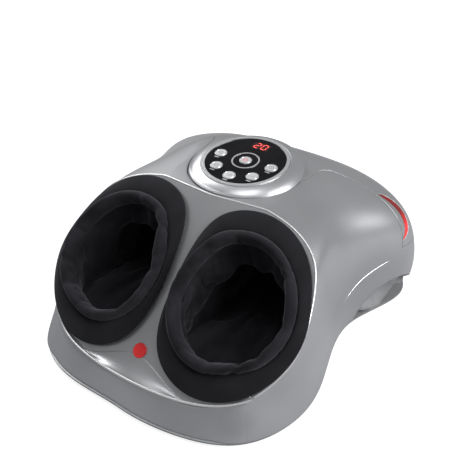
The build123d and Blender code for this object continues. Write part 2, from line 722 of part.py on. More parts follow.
# Panel: black lens, bright rings, display, board, switches and keys
lens = panel_disc(lens_radius, -lens_thick, 0)
key_places = {label: on_circle(key_circle, angle) for label, angle in key_angles.items()}
key_places["power"] = (0.0, 0.0)
for x, y in key_places.values():
    lens -= panel_disc(key_radius + key_slack, -lens_thick - 1, 1, x, y)
display_x, display_y = on_circle(key_circle, 90)
window = Box(display_width + 2 * key_slack, display_depth + 2 * key_slack, cut_over)
lens -= panel_plane * Pos(display_x, display_y, 0) * window
ring_groove = panel_disc(power_ring_radius + running_gap, -power_ring_sunk, 1)
ring_groove -= panel_disc(power_ring_radius - power_ring_width - running_gap, -power_ring_sunk - 1, 1)
parts["panel_lens"] = lens - ring_groove
panel_ring = panel_disc(ring_radius, -lens_thick, ring_proud) - panel_disc(lens_radius + running_gap, -cut_over, cut_over)
parts["panel_ring"] = panel_ring
power_ring = panel_disc(power_ring_radius, -power_ring_sunk, power_ring_proud)
power_ring -= panel_disc(power_ring_radius - power_ring_width, -power_ring_sunk - 1, 1)
parts["power_ring"] = power_ring
display_high = board_level - display_sunk
parts["display"] = panel_plane * Pos(display_x, display_y, -board_level) * Box(
    display_width, display_depth, display_high, align=low_centre)
parts["control_board"] = panel_disc(lens_radius - pod_wall - fit_gap, board_under, -board_level)
switches = []
for x, y in key_places.values():
    switches.append(panel_plane * Pos(x, y, -board_level) * Box(switch_side, switch_side, switch_height, align=low_centre))
parts["key_switches"] = Compound(switches)
stem_low = -board_level + switch_height + key_rest_gap
flange_top = -lens_thick - key_stop_gap
for label, (x, y) in key_places.items():
    cap = Cylinder(key_radius, key_proud - flange_top, align=low_centre)
    cap = fillet(cap.edges().group_by(Axis.Z)[-1], key_round)
    key = Pos(0, 0, flange_top) * cap
    key += Pos(0, 0, flange_top - key_flange_thick) * Cylinder(key_radius + key_flange, key_flange_thick, align=low_centre)
    key += Pos(0, 0, stem_low) * Cylinder(key_stem_radius, flange_top - stem_low, align=low_centre)
    parts["key_" + label] = panel_plane * Pos(x, y, 0) * key

for name, solid in parts.items():
    export_step(solid, "parts/" + name + ".step")
    box = solid.bounding_box()
    print(name, solid.is_valid, len(solid.solids()), round(solid.volume), [round(v, 1) for v in (*box.min, *box.max)])
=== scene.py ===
import json
import logging
import math
from dataclasses import dataclass, field
from enum import Enum
from typing import Iterable, Sequence

import bmesh
import bpy
import numpy as np
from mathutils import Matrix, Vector
from mathutils.bvhtree import BVHTree


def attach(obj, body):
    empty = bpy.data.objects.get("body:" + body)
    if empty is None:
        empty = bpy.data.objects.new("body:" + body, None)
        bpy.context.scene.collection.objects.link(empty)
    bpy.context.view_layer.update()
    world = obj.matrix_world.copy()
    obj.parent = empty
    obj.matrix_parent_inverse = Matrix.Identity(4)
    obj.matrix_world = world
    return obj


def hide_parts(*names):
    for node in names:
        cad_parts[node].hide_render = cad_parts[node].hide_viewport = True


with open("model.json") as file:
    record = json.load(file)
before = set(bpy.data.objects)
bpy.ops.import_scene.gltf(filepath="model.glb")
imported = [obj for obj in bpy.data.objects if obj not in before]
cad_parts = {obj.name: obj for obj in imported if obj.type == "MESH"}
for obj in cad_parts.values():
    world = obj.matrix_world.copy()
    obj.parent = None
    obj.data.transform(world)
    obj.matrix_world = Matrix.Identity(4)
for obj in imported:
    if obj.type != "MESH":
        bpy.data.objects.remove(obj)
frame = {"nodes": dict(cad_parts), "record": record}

LOG = logging.getLogger("foot_massager")
MM = 0.001
ROOT = "housing"
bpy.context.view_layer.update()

Points = np.ndarray
Face = tuple[int, ...]
Flat = tuple[float, float]
Colour = tuple[float, float, float]


class Side(Enum):
    """The two halves of the massager, as the user sees them."""

    RIGHT = 1
    LEFT = -1

    @property
    def word(self) -> str:
        """The word that ends a node's name."""
        return self.name.lower()


class Pattern(Enum):
    """How a finish varies over a surface."""

    FLAKE = "metal flake"
    GRAIN = "moulded grain"
    SMOOTH = "polished"


# Materials

class Shader:
    """A node tree under construction, with short calls for the nodes that finishes share."""

    # A colour ramp's ends, close enough that the noise reaches both colours
    ramp_ends = (0.34, 0.66)

    def __init__(self, name: str) -> None:
        """Makes an empty material.

        Args:
            name: The material's name.
        """
        self.material = bpy.data.materials.new(name)
        self.material.use_nodes = True
        self.tree = self.material.node_tree
        self.tree.nodes.clear()
        self.output = self.node("ShaderNodeOutputMaterial")

    def node(self, kind: str, **values: object) -> bpy.types.Node:
        """Adds a node and sets its sockets or settings by name.

        Args:
            kind: Blender's node type.
            values: Socket names with spaces as underscores, or settings of the node.

        Returns:
            The new node.
        """
        node = self.tree.nodes.new(kind)
        for key, value in values.items():
            if hasattr(node, key):
                setattr(node, key, value)
            else:
                node.inputs[key.replace("_", " ")].default_value = value
        return node

    def link(self, source: bpy.types.NodeSocket, target: bpy.types.NodeSocket) -> None:
        """Joins two sockets."""
        self.tree.links.new(source, target)

    def noise(self, scale: float, detail: float = 3.0,
              stretch: Sequence[float] = (1, 1, 1)) -> bpy.types.NodeSocket:
        """Noise on object coordinates.

        Args:
            scale: Grains for each metre.
            detail: Octaves.
            stretch: Scale of each axis, for a pattern that runs one way.

        Returns:
            The noise's factor socket.
        """
        place = self.node("ShaderNodeTexCoord")
        mapping = self.node("ShaderNodeMapping")
        mapping.inputs["Scale"].default_value = stretch
        noise = self.node("ShaderNodeTexNoise", Scale=scale, Detail=detail)
        self.link(place.outputs["Object"], mapping.inputs["Vector"])
        self.link(mapping.outputs["Vector"], noise.inputs["Vector"])
        return noise.outputs["Fac"]

    def blend(self, factor: bpy.types.NodeSocket, low: Colour, high: Colour) -> bpy.types.NodeSocket:
        """A ramp between two colours.

        Args:
            factor: Where between them.
            low: The colour at the low end.
            high: The colour at the high end.

        Returns:
            The colour socket.
        """
        ramp = self.node("ShaderNodeValToRGB")
        for number, (end, colour) in enumerate(zip(self.ramp_ends, (low, high))):
            ramp.color_ramp.elements[number].position = end
            ramp.color_ramp.elements[number].color = (*colour, 1)
        self.link(factor, ramp.inputs["Fac"])
        return ramp.outputs["Color"]

    def spread(self, factor: bpy.types.NodeSocket, low: float, high: float) -> bpy.types.NodeSocket:
        """A number between two values.

        Args:
            factor: Where between them.
            low: The lowest value.
            high: The highest value.

        Returns:
            The number's socket.
        """
        node = self.node("ShaderNodeMapRange", To_Min=low, To_Max=high)
        self.link(factor, node.inputs["Value"])
        return node.outputs["Result"]

    def bump(self, height: bpy.types.NodeSocket, strength: float, distance: float,
             normal: bpy.types.NodeSocket | None = None) -> bpy.types.NodeSocket:
        """Relief from a height socket.

        Args:
            height: The height from 0 to 1.
            strength: From 0 to 1.
            distance: The relief's depth in metres.
            normal: The normal to start from.

        Returns:
            The normal socket.
        """
        node = self.node("ShaderNodeBump", Strength=strength, Distance=distance)
        self.link(height, node.inputs["Height"])
        if normal is not None:
            self.link(normal, node.inputs["Normal"])
        return node.outputs["Normal"]

    def sum_of(self, fine: bpy.types.NodeSocket, share: float,
               broad: bpy.types.NodeSocket) -> bpy.types.NodeSocket:
        """One pattern laid over another.

        Args:
            fine: The pattern on top.
            share: How much of it counts.
            broad: The pattern below.

        Returns:
            The sum's socket.
        """
        node = self.node("ShaderNodeMath", operation="MULTIPLY_ADD")
        node.inputs[1].default_value = share
        self.link(fine, node.inputs[0])
        self.link(broad, node.inputs[2])
        return node.outputs[0]

    def close(self, skin: bpy.types.Node) -> bpy.types.Material:
        """Ends the tree with a surface node, and returns the material."""
        self.link(skin.outputs["BSDF"], self.output.inputs["Surface"])
        return self.material


@dataclass(frozen=True)
class Finish:
    """A solid finish: paint, moulded plastic, rubber, metal or a film.

    Attributes:
        name: The material's name.
        dark: Colour at the low end of its variation.
        light: Colour at the high end.
        pattern: What its surface shows from close by.
        metallic: Share of metal.
        roughness: Lowest and highest roughness.
        coat: Weight of a clear coat.
        relief: Depth of the grain in metres.
        grain: Grains for each metre.
        rounding: Radius in metres by which sharp edges catch the light, or zero.
        glow: Strength of its own light.
        specular: How much its face mirrors, 0.5 for most plastics.
    """

    name: str
    dark: Colour
    light: Colour
    pattern: Pattern = Pattern.GRAIN
    metallic: float = 0.0
    roughness: Flat = (0.4, 0.5)
    coat: float = 0.0
    relief: float = 0.00003
    grain: float = 900.0
    rounding: float = 0.0
    glow: float = 0.0
    specular: float = 0.5

    def build(self) -> bpy.types.Material:
        """Makes the material.

        Returns:
            The new material.
        """
        shader = Shader(self.name)
        skin = shader.node("ShaderNodeBsdfPrincipled")
        skin.inputs["Metallic"].default_value = self.metallic
        skin.inputs["Coat Weight"].default_value = self.coat
        skin.inputs["Coat Roughness"].default_value = 0.08
        skin.inputs["Specular IOR Level"].default_value = self.specular
        broad_scale, strength = (9.0, 0.25) if self.pattern is Pattern.FLAKE else (40.0, 0.6)
        broad = shader.noise(broad_scale, 2.0)
        shader.link(shader.blend(broad, self.dark, self.light), skin.inputs["Base Color"])
        fine = shader.noise(self.grain, 4.0)
        shader.link(shader.spread(fine, *self.roughness), skin.inputs["Roughness"])
        normal = None
        if self.rounding:
            edge = shader.node("ShaderNodeBevel", Radius=self.rounding)
            normal = edge.outputs["Normal"]
        if self.pattern is not Pattern.SMOOTH:
            normal = shader.bump(fine, strength, self.relief, normal)
        if normal is not None:
            shader.link(normal, skin.inputs["Normal"])
        if self.glow:
            skin.inputs["Emission Color"].default_value = (*self.light, 1)
            skin.inputs["Emission Strength"].default_value = self.glow
        return shader.close(skin)


@dataclass(frozen=True)
class NapFinish:
    """Brushed knit fabric: a dark ground, a soft nap that lies in patches, and fine loops.

    Attributes:
        name: The material's name.
        ground: Colour deep in the nap.
        tips: Colour of the nap's tips.
        nap_scale: Patches for each metre.
        loop_scale: Loops for each metre.
        relief: Depth of the nap in metres.
        sheen: Weight of the soft light at grazing angles.
    """

    name: str
    ground: Colour
    tips: Colour
    nap_scale: float = 60.0
    loop_scale: float = 1400.0
    relief: float = 0.0004
    sheen: float = 0.35

    def build(self) -> bpy.types.Material:
        """Makes the material.

        Returns:
            The new material.
        """
        shader = Shader(self.name)
        skin = shader.node("ShaderNodeBsdfPrincipled")
        skin.inputs["Sheen Weight"].default_value = self.sheen
        skin.inputs["Sheen Roughness"].default_value = 0.45
        skin.inputs["Sheen Tint"].default_value = (0.55, 0.56, 0.62, 1)
        skin.inputs["Specular IOR Level"].default_value = 0.15
        patches = shader.noise(self.nap_scale, 5.0, (1.0, 0.55, 1.0))
        loops = shader.noise(self.loop_scale, 3.0)
        nap = shader.sum_of(loops, 0.45, patches)
        shader.link(shader.blend(patches, self.ground, self.tips), skin.inputs["Base Color"])
        shader.link(shader.spread(loops, 0.85, 1.0), skin.inputs["Roughness"])
        shader.link(shader.bump(nap, 0.8, self.relief), skin.inputs["Normal"])
        return shader.close(skin)


@dataclass(frozen=True)
class FadeFinish:
    """A glossy tinted lens, darker towards its top than towards its bottom.

    Attributes:
        name: The material's name.
        low: Colour at the bottom.
        high: Colour at the top.
        levels: Heights of the bottom and the top, in metres.
        roughness: Its roughness.
    """

    name: str
    low: Colour
    high: Colour
    levels: Flat
    roughness: float = 0.14

    def build(self) -> bpy.types.Material:
        """Makes the material.

        Returns:
            The new material.
        """
        shader = Shader(self.name)
        skin = shader.node("ShaderNodeBsdfPrincipled", Roughness=self.roughness)
        skin.inputs["Coat Weight"].default_value = 0.5
        place = shader.node("ShaderNodeTexCoord")
        parts = shader.node("ShaderNodeSeparateXYZ")
        level = shader.node("ShaderNodeMapRange")
        level.inputs["From Min"].default_value, level.inputs["From Max"].default_value = self.levels
        shader.link(place.outputs["Object"], parts.inputs[0])
        shader.link(parts.outputs["Z"], level.inputs["Value"])
        clouded = shader.sum_of(shader.noise(120.0, 2.0), 0.25, level.outputs["Result"])
        shader.link(shader.blend(clouded, self.low, self.high), skin.inputs["Base Color"])
        return shader.close(skin)


class Finishes:
    """Every finish of the massager, made once."""

    def __init__(self) -> None:
        """Makes the materials."""
        flake, smooth = Pattern.FLAKE, Pattern.SMOOTH
        self.silver = Finish("silver paint", (0.47, 0.475, 0.49), (0.53, 0.535, 0.55), flake, metallic=0.75,
                             roughness=(0.30, 0.36), coat=0.25, relief=0.00002, grain=2600.0,
                             rounding=0.003).build()
        # A lighter copy of the silver paint for the deck's edge bead and the flank lines: a painted highlight
        # where their rounded edges catch the lamps.
        self.silver_edge = Finish("silver paint on an edge", (0.70, 0.70, 0.71), (0.80, 0.80, 0.81), flake,
                                  metallic=0.55, roughness=(0.24, 0.30), coat=0.3, relief=0.00001,
                                  grain=2600.0).build()
        self.dark_plastic = Finish("dark moulded plastic", (0.030, 0.030, 0.034), (0.05, 0.05, 0.055)).build()
        self.pan = Finish("grey moulded plastic", (0.30, 0.305, 0.315), (0.36, 0.365, 0.375), metallic=0.3,
                          roughness=(0.38, 0.46)).build()
        self.black_gloss = Finish("black lens", (0.002, 0.002, 0.0025), (0.005, 0.005, 0.006), smooth,
                                  roughness=(0.05, 0.08), specular=0.28).build()
        self.bright = Finish("bright plating", (0.86, 0.865, 0.875), (0.94, 0.945, 0.95), smooth,
                             metallic=0.8, roughness=(0.16, 0.22)).build()
        self.red_lens = Finish("red lens", (0.62, 0.015, 0.018), (0.80, 0.03, 0.03), smooth,
                               roughness=(0.12, 0.18), coat=0.5).build()
        self.crescent = FadeFinish("crescent lens", (0.78, 0.02, 0.02), (0.22, 0.004, 0.004),
                                   levels=(0.125, 0.165)).build()
        self.rubber = Finish("black rubber", (0.012, 0.012, 0.012), (0.022, 0.022, 0.022),
                             roughness=(0.7, 0.85)).build()
        self.steel = Finish("zinc plated steel", (0.42, 0.42, 0.44), (0.60, 0.60, 0.60), metallic=1.0,
                            roughness=(0.3, 0.45)).build()
        self.board = Finish("green solder mask", (0.01, 0.10, 0.03), (0.02, 0.16, 0.06), roughness=(0.3, 0.4),
                            coat=0.3).build()
        self.switch = Finish("switch plastic", (0.03, 0.03, 0.03), (0.08, 0.08, 0.08)).build()
        self.key = Finish("light key plastic", (0.60, 0.61, 0.62), (0.70, 0.71, 0.72), metallic=0.35,
                          roughness=(0.25, 0.32), coat=0.2).build()
        self.symbol = Finish("printed symbol", (0.16, 0.16, 0.17), (0.22, 0.22, 0.23), smooth).build()
        self.red_symbol = Finish("red symbol", (0.65, 0.02, 0.02), (0.80, 0.03, 0.03), smooth,
                                 roughness=(0.3, 0.4), glow=0.35).build()
        self.label = Finish("pale print", (0.55, 0.55, 0.56), (0.68, 0.68, 0.69), smooth).build()
        self.display = Finish("display filter", (0.020, 0.004, 0.004), (0.035, 0.006, 0.006), smooth,
                              roughness=(0.12, 0.2), coat=0.4).build()
        self.segment = Finish("lit segment", (0.85, 0.05, 0.05), (1.0, 0.10, 0.08), smooth, glow=1.1).build()
        self.drive = Finish("drive housing plastic", (0.10, 0.11, 0.12), (0.16, 0.17, 0.18)).build()
        self.gear = Finish("natural acetal", (0.72, 0.70, 0.64), (0.82, 0.80, 0.74),
                           roughness=(0.35, 0.45)).build()
        self.motor = Finish("motor can", (0.40, 0.40, 0.42), (0.52, 0.52, 0.54), metallic=0.9,
                            roughness=(0.3, 0.4)).build()
        self.heater = Finish("heating film", (0.30, 0.14, 0.03), (0.42, 0.22, 0.06)).build()
        self.hose = Finish("silicone hose", (0.45, 0.45, 0.43), (0.58, 0.58, 0.56), smooth,
                           roughness=(0.35, 0.45)).build()
        self.bag = NapFinish("coated bag fabric", (0.08, 0.09, 0.11), (0.14, 0.15, 0.18), nap_scale=40.0,
                             loop_scale=900.0, relief=0.0002, sheen=0.1).build()
        self.nap = NapFinish("black felted knit", (0.0105, 0.0105, 0.0125), (0.0165, 0.0165, 0.0195),
                             nap_scale=26.0, loop_scale=1600.0, relief=0.00018, sheen=0.22).build()
        self.lining = NapFinish("black brushed lining", (0.008, 0.008, 0.010), (0.021, 0.021, 0.025),
                                nap_scale=34.0, loop_scale=1300.0, relief=0.0003, sheen=0.22).build()
        self.thread = NapFinish("black thread", (0.010, 0.010, 0.012), (0.05, 0.05, 0.055), nap_scale=500.0,
                                loop_scale=3000.0, relief=0.0001, sheen=0.3).build()


# Shapes

def spline_ring(points: Sequence[Sequence[float]], count: int) -> Points:
    """A smooth closed curve through points, sampled evenly in its own parameter.

    Args:
        points: The outline's points, in order.
        count: How many samples.

    Returns:
        The samples, one row each.
    """
    rows = np.asarray(points, float)
    size = len(rows)
    spans = np.linalg.norm(np.roll(rows, -1, 0) - rows, axis=1)
    system = np.zeros((size, size))
    right = np.zeros_like(rows)
    for i in range(size):
        before, after = spans[i - 1], spans[i]
        system[i, i - 1] += before
        system[i, i] += 2 * (before + after)
        system[i, (i + 1) % size] += after
        right[i] = 6 * ((rows[(i + 1) % size] - rows[i]) / after - (rows[i] - rows[i - 1]) / before)
    bends = np.linalg.solve(system, right)
    ways = np.concatenate([[0], np.cumsum(spans)])
    samples = []
    for way in np.linspace(0, ways[-1], count, endpoint=False):
        i = min(int(np.searchsorted(ways, way, side="right")) - 1, size - 1)
        j, span, t = (i + 1) % size, spans[i], way - ways[i]
        u = span - t
        straight = (rows[i] / span - bends[i] * span / 6) * u + (rows[j] / span - bends[j] * span / 6) * t
        samples.append((bends[i] * u ** 3 + bends[j] * t ** 3) / (6 * span) + straight)
    return np.array(samples)


def inset(points: Sequence[Flat], distance: float) -> list[Flat]:
    """Moves each point of a counter-clockwise outline inwards.

    Args:
        points: The outline.
        distance: How far, in millimetres.

    Returns:
        The moved points.
    """
    moved = []
    for i, here in enumerate(points):
        before, after = points[i - 1], points[(i + 1) % len(points)]
        run = math.hypot(after[0] - before[0], after[1] - before[1])
        moved.append((here[0] - (after[1] - before[1]) / run * distance,
                      here[1] + (after[0] - before[0]) / run * distance))
    return moved


def tilted(points: Points, middle: Sequence[float], tilt: float) -> Points:
    """Moves points from over a level plane to over one that leans towards the user.

    Args:
        points: Rows of places across and up the plane and heights over it, in millimetres.
        middle: Where the plane's origin goes.
        tilt: How far it leans, in degrees.

    Returns:
        The moved points.
    """
    cos, sin = math.cos(math.radians(tilt)), math.sin(math.radians(tilt))
    axes = np.array([(1.0, 0.0, 0.0), (0.0, cos, sin), (0.0, -sin, cos)])
    return np.array(middle) + np.asarray(points, float) @ axes


def add_object(name: str, data: bpy.types.ID) -> bpy.types.Object:
    """Puts data in the scene as an object at the origin.

    Args:
        name: The object's name.
        data: Its mesh, camera or lamp.

    Returns:
        The new object.
    """
    made = bpy.data.objects.new(name, data)
    bpy.context.scene.collection.objects.link(made)
    return made


def places_of(vertices: Iterable) -> Points:
    """The places of vertices in millimetres, one row each."""
    return np.array([vertex.co for vertex in vertices]) / MM


def shade(mesh: bpy.types.Mesh, smooth: bool) -> None:
    """Shades every face of a mesh smooth, or flat."""
    for polygon in mesh.polygons:
        polygon.use_smooth = smooth


def mesh_piece(name: str, points: Points, faces: Sequence[Face], smooth: bool = True) -> bpy.types.Object:
    """A mesh object at the origin, from points in millimetres.

    Args:
        name: The piece's name.
        points: One row for each vertex.
        faces: Vertex numbers.
        smooth: Whether it is shaded smooth.

    Returns:
        The new object.
    """
    mesh = bpy.data.meshes.new(name)
    mesh.from_pydata([tuple(row) for row in np.asarray(points, float) * MM], [], [tuple(f) for f in faces])
    mesh.update()
    shade(mesh, smooth)
    return add_object(name, mesh)


def line_piece(name: str, points: Iterable[Sequence[float]],
               edges: Sequence[tuple[int, int]]) -> bpy.types.Object:
    """An object of bare lines, for a tree that follows them.

    Args:
        name: The piece's name.
        points: One row for each vertex, in metres.
        edges: Which vertices are joined.

    Returns:
        The new object.
    """
    mesh = bpy.data.meshes.new(name)
    mesh.from_pydata([tuple(row) for row in points], edges, [])
    return add_object(name, mesh)


def ring_faces(rows: int, count: int, closed: bool) -> list[Face]:
    """Quads between rings that have the same number of points.

    Args:
        rows: How many rings.
        count: Points in a ring.
        closed: Whether the last ring joins the first.

    Returns:
        The faces.
    """
    faces = []
    for r in range(rows if closed else rows - 1):
        s = (r + 1) % rows
        for i in range(count):
            j = (i + 1) % count
            faces.append((r * count + i, r * count + j, s * count + j, s * count + i))
    return faces


def merge(piece: bpy.types.Object, distance: float, turn: bool = False) -> bpy.types.Object:
    """Merges vertices that lie within a distance of each other.

    Args:
        piece: The piece.
        distance: The distance in metres.
        turn: Whether the faces of the closed mesh are turned outwards as well.

    Returns:
        The same piece.
    """
    form = bmesh.new()
    form.from_mesh(piece.data)
    bmesh.ops.remove_doubles(form, verts=form.verts, dist=distance)
    if turn:
        bmesh.ops.recalc_face_normals(form, faces=form.faces)
    form.to_mesh(piece.data)
    form.free()
    return piece


def outward(piece: bpy.types.Object) -> bpy.types.Object:
    """Turns a closed mesh's faces outwards, once its doubles are merged."""
    return merge(piece, 1e-6, turn=True)


def relax(form: bmesh.types.BMesh, times: int) -> None:
    """Smooths a form: every vertex moves half way to the middle of its neighbours.

    Args:
        form: The form.
        times: How often.
    """
    for _ in range(times):
        bmesh.ops.smooth_vert(form, verts=form.verts, factor=0.5, use_axis_x=True, use_axis_y=True,
                              use_axis_z=True)


def flatten_modifiers(piece: bpy.types.Object) -> bpy.types.Object:
    """Replaces a piece's mesh by the result of its modifiers, which are removed.

    Args:
        piece: The piece.

    Returns:
        The same piece.
    """
    graph = bpy.context.evaluated_depsgraph_get()
    graph.update()
    mesh = bpy.data.meshes.new_from_object(piece.evaluated_get(graph), preserve_all_data_layers=True,
                                           depsgraph=graph)
    old = piece.data
    piece.modifiers.clear()
    piece.data = mesh
    mesh.name = old.name
    shade(mesh, True)
    return piece


def even_cells(piece: bpy.types.Object, size: float) -> bpy.types.Object:
    """Rebuilds a closed piece from even cells.

    Args:
        piece: The piece.
        size: A cell's width in metres.

    Returns:
        The same piece.
    """
    remesh = piece.modifiers.new("voxels", "REMESH")
    remesh.mode, remesh.voxel_size = "VOXEL", size
    return flatten_modifiers(piece)


def subdivide(piece: bpy.types.Object) -> bpy.types.Object:
    """Subdivides a piece once, after the modifiers that it has already.

    Args:
        piece: The piece.

    Returns:
        The same piece.
    """
    smooth = piece.modifiers.new("smooth", "SUBSURF")
    smooth.levels = smooth.render_levels = 1
    return flatten_modifiers(piece)


def cut_away(piece: bpy.types.Object, cutter: bpy.types.Object) -> bpy.types.Object:
    """Cuts a closed form away from a piece.

    Args:
        piece: The piece.
        cutter: The form, which is removed.

    Returns:
        The piece.
    """
    cut = piece.modifiers.new("cut", "BOOLEAN")
    cut.operation, cut.object, cut.solver = "DIFFERENCE", cutter, "EXACT"
    flatten_modifiers(piece)
    bpy.data.objects.remove(cutter)
    return piece


def dress(piece: bpy.types.Object, material: bpy.types.Material, stands_for: Sequence[str] = (),
          body: str = ROOT) -> bpy.types.Object:
    """Gives a piece its material and its body, and hides the CAD nodes it stands for.

    Args:
        piece: The piece.
        material: Its material.
        stands_for: CAD nodes that it replaces.
        body: The CAD body it rides on.

    Returns:
        The same piece.
    """
    piece.data.materials.clear()
    piece.data.materials.append(material)
    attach(piece, body)
    if stands_for:
        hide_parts(*stands_for)
    LOG.info("%s: %d faces on %s", piece.name, len(piece.data.polygons), body)
    return piece


class GeometryTree:
    """A Geometry Nodes tree under construction, with named inputs for its sizes."""

    def __init__(self, name: str) -> None:
        """Starts an empty tree.

        Args:
            name: The tree's name.
        """
        self.tree = bpy.data.node_groups.new(name, "GeometryNodeTree")
        self.tree.interface.new_socket("Geometry", in_out="INPUT", socket_type="NodeSocketGeometry")
        self.tree.interface.new_socket("Geometry", in_out="OUTPUT", socket_type="NodeSocketGeometry")
        self.source = self.tree.nodes.new("NodeGroupInput")
        self.result = self.tree.nodes.new("NodeGroupOutput")

    def size(self, name: str, kind: str = "NodeSocketFloat") -> bpy.types.NodeSocket:
        """Adds a named input.

        Args:
            name: The input's name.
            kind: Its socket type.

        Returns:
            The socket that carries it inside the tree.
        """
        self.tree.interface.new_socket(name, in_out="INPUT", socket_type=kind)
        return self.source.outputs[name]

    def node(self, kind: str, **links: object) -> bpy.types.Node:
        """Adds a node and sets or joins its inputs by name.

        Args:
            kind: Blender's node type.
            links: Socket names with spaces as underscores; a socket is joined, a value is set.

        Returns:
            The new node.
        """
        node = self.tree.nodes.new(kind)
        for key, value in links.items():
            name = key.replace("_", " ")
            if name not in node.inputs:
                setattr(node, key, value)
            elif isinstance(value, bpy.types.NodeSocket):
                self.tree.links.new(value, node.inputs[name])
            else:
                node.inputs[name].default_value = value
        return node

    def close(self, geometry: bpy.types.NodeSocket) -> None:
        """Ends the tree: instances made real, then the material.

        Args:
            geometry: The tree's last geometry.
        """
        material = self.size("Material", "NodeSocketMaterial")
        real = self.node("GeometryNodeRealizeInstances", Geometry=geometry)
        done = self.node("GeometryNodeSetMaterial", Geometry=real.outputs[0], Material=material)
        self.tree.links.new(done.outputs[0], self.result.inputs[0])

    def run(self, piece: bpy.types.Object, **values: object) -> bpy.types.Object:
        """Runs the tree on a piece, whose mesh becomes the result.

        Args:
            piece: The piece whose mesh is the tree's geometry input.
            values: The inputs by name.

        Returns:
            The same piece.
        """
        modifier = piece.modifiers.new(self.tree.name, "NODES")
        modifier.node_group = self.tree
        for item in self.tree.interface.items_tree:
            if item.in_out == "INPUT" and item.name.replace(" ", "_") in values:
                modifier[item.identifier] = values[item.name.replace(" ", "_")]
        return flatten_modifiers(piece)


class Trees:
    """The trees for what repeats or follows a path."""

    def __init__(self) -> None:
        """Builds the trees."""
        self.stitches = self.build_stitches()
        self.copies = self.build_copies()
        self.bead = self.build_bead()

    def build_stitches(self) -> GeometryTree:
        """A row of stitches along a path: a small capsule at even steps, turned along it.

        Returns:
            The tree.
        """
        tree = GeometryTree("stitch row")
        count, length, width = tree.size("Count", "NodeSocketInt"), tree.size("Length"), tree.size("Width")
        path = tree.node("GeometryNodeMeshToCurve", Mesh=tree.source.outputs["Geometry"])
        steps = tree.node("GeometryNodeCurveToPoints", Curve=path.outputs[0], Count=count)
        stitch = tree.node("GeometryNodeMeshUVSphere", Segments=6, Rings=5, Radius=0.5)
        scale = tree.node("ShaderNodeCombineXYZ", X=width, Y=width, Z=length)
        turned = tree.node("FunctionNodeAlignRotationToVector", axis="Z", Vector=steps.outputs["Tangent"])
        row = tree.node("GeometryNodeInstanceOnPoints", Points=steps.outputs["Points"],
                        Instance=stitch.outputs["Mesh"], Rotation=turned.outputs[0], Scale=scale.outputs[0])
        tree.close(row.outputs[0])
        return tree

    def build_copies(self) -> GeometryTree:
        """A copy of a template at each point, all upright.

        Returns:
            The tree.
        """
        tree = GeometryTree("copies at points")
        template = tree.size("Template", "NodeSocketObject")
        form = tree.node("GeometryNodeObjectInfo", Object=template)
        points = tree.node("GeometryNodeMeshToPoints", Mesh=tree.source.outputs["Geometry"])
        copies = tree.node("GeometryNodeInstanceOnPoints", Points=points.outputs[0],
                           Instance=form.outputs["Geometry"])
        tree.close(copies.outputs[0])
        return tree

    def build_bead(self) -> GeometryTree:
        """A round bead along a path.

        Returns:
            The tree.
        """
        tree = GeometryTree("bead")
        radius = tree.size("Radius")
        path = tree.node("GeometryNodeMeshToCurve", Mesh=tree.source.outputs["Geometry"])
        profile = tree.node("GeometryNodeCurvePrimitiveCircle", Resolution=10, Radius=radius)
        bead = tree.node("GeometryNodeCurveToMesh", Curve=path.outputs[0], Profile_Curve=profile.outputs[0],
                         Fill_Caps=True)
        tree.close(bead.outputs[0])
        return tree


@dataclass(frozen=True)
class ClothPass:
    """One cloth simulation on a soft piece, whose result is kept in its mesh.

    Attributes:
        pressure: Air pressure inside, or zero.
        growth: Share by which the cloth has more stuff than room, which gathers it into folds.
        cap: How far a point may move, in millimetres.
        stiffness: How much the cloth resists bending.
        frames: Frames that are run.
        stretch_stiffness: How much it resists stretching.
        damping: How much the air slows it.
    """

    pressure: float = 4.0
    growth: float = 0.0
    cap: float = 5.0
    stiffness: float = 0.5
    frames: int = 20
    stretch_stiffness: float = 12.0
    damping: float = 4.0

    def run(self, piece: bpy.types.Object, pinned: Sequence[int] = (),
            outward_cap: float | None = None) -> None:
        """Simulates, caps the movement and writes it into the mesh.

        Args:
            piece: The piece.
            pinned: Vertices that stay.
            outward_cap: A smaller cap along the surface's normal, in millimetres, if any.
        """
        mesh = piece.data
        start = np.array([v.co for v in mesh.vertices])
        normals = np.array([v.normal for v in mesh.vertices])
        cloth = piece.modifiers.new("cloth", "CLOTH")
        rules = cloth.settings
        rules.effector_weights.gravity = 0.0
        rules.bending_stiffness = self.stiffness
        rules.tension_stiffness = rules.compression_stiffness = self.stretch_stiffness
        rules.shrink_min = -self.growth
        rules.air_damping = self.damping
        if self.pressure:
            rules.use_pressure = True
            rules.uniform_pressure_force = self.pressure
        if len(pinned):
            group = piece.vertex_groups.new(name="held")
            group.add([int(i) for i in pinned], 1.0, "REPLACE")
            rules.vertex_group_mass = "held"
        cloth.point_cache.frame_start, cloth.point_cache.frame_end = 1, self.frames
        for number in range(1, self.frames + 1):
            bpy.context.scene.frame_set(number)
        graph = bpy.context.evaluated_depsgraph_get()
        done = np.array([v.co for v in piece.evaluated_get(graph).data.vertices])
        piece.modifiers.clear()
        piece.vertex_groups.clear()
        bpy.context.scene.frame_set(1)
        move = done - start
        move[~np.isfinite(move).all(1)] = 0
        if outward_cap is not None:
            along = (move * normals).sum(1)
            move -= normals * np.maximum(along - outward_cap * MM, 0)[:, None]
        far = np.linalg.norm(move, axis=1)
        move *= np.minimum(1.0, self.cap * MM / np.maximum(far, 1e-9))[:, None]
        mesh.vertices.foreach_set("co", (start + move).ravel())
        mesh.update()
        largest = np.linalg.norm(move, axis=1).max() / MM
        LOG.info("%s: cloth settled, largest move %.1f mm", piece.name, largest)


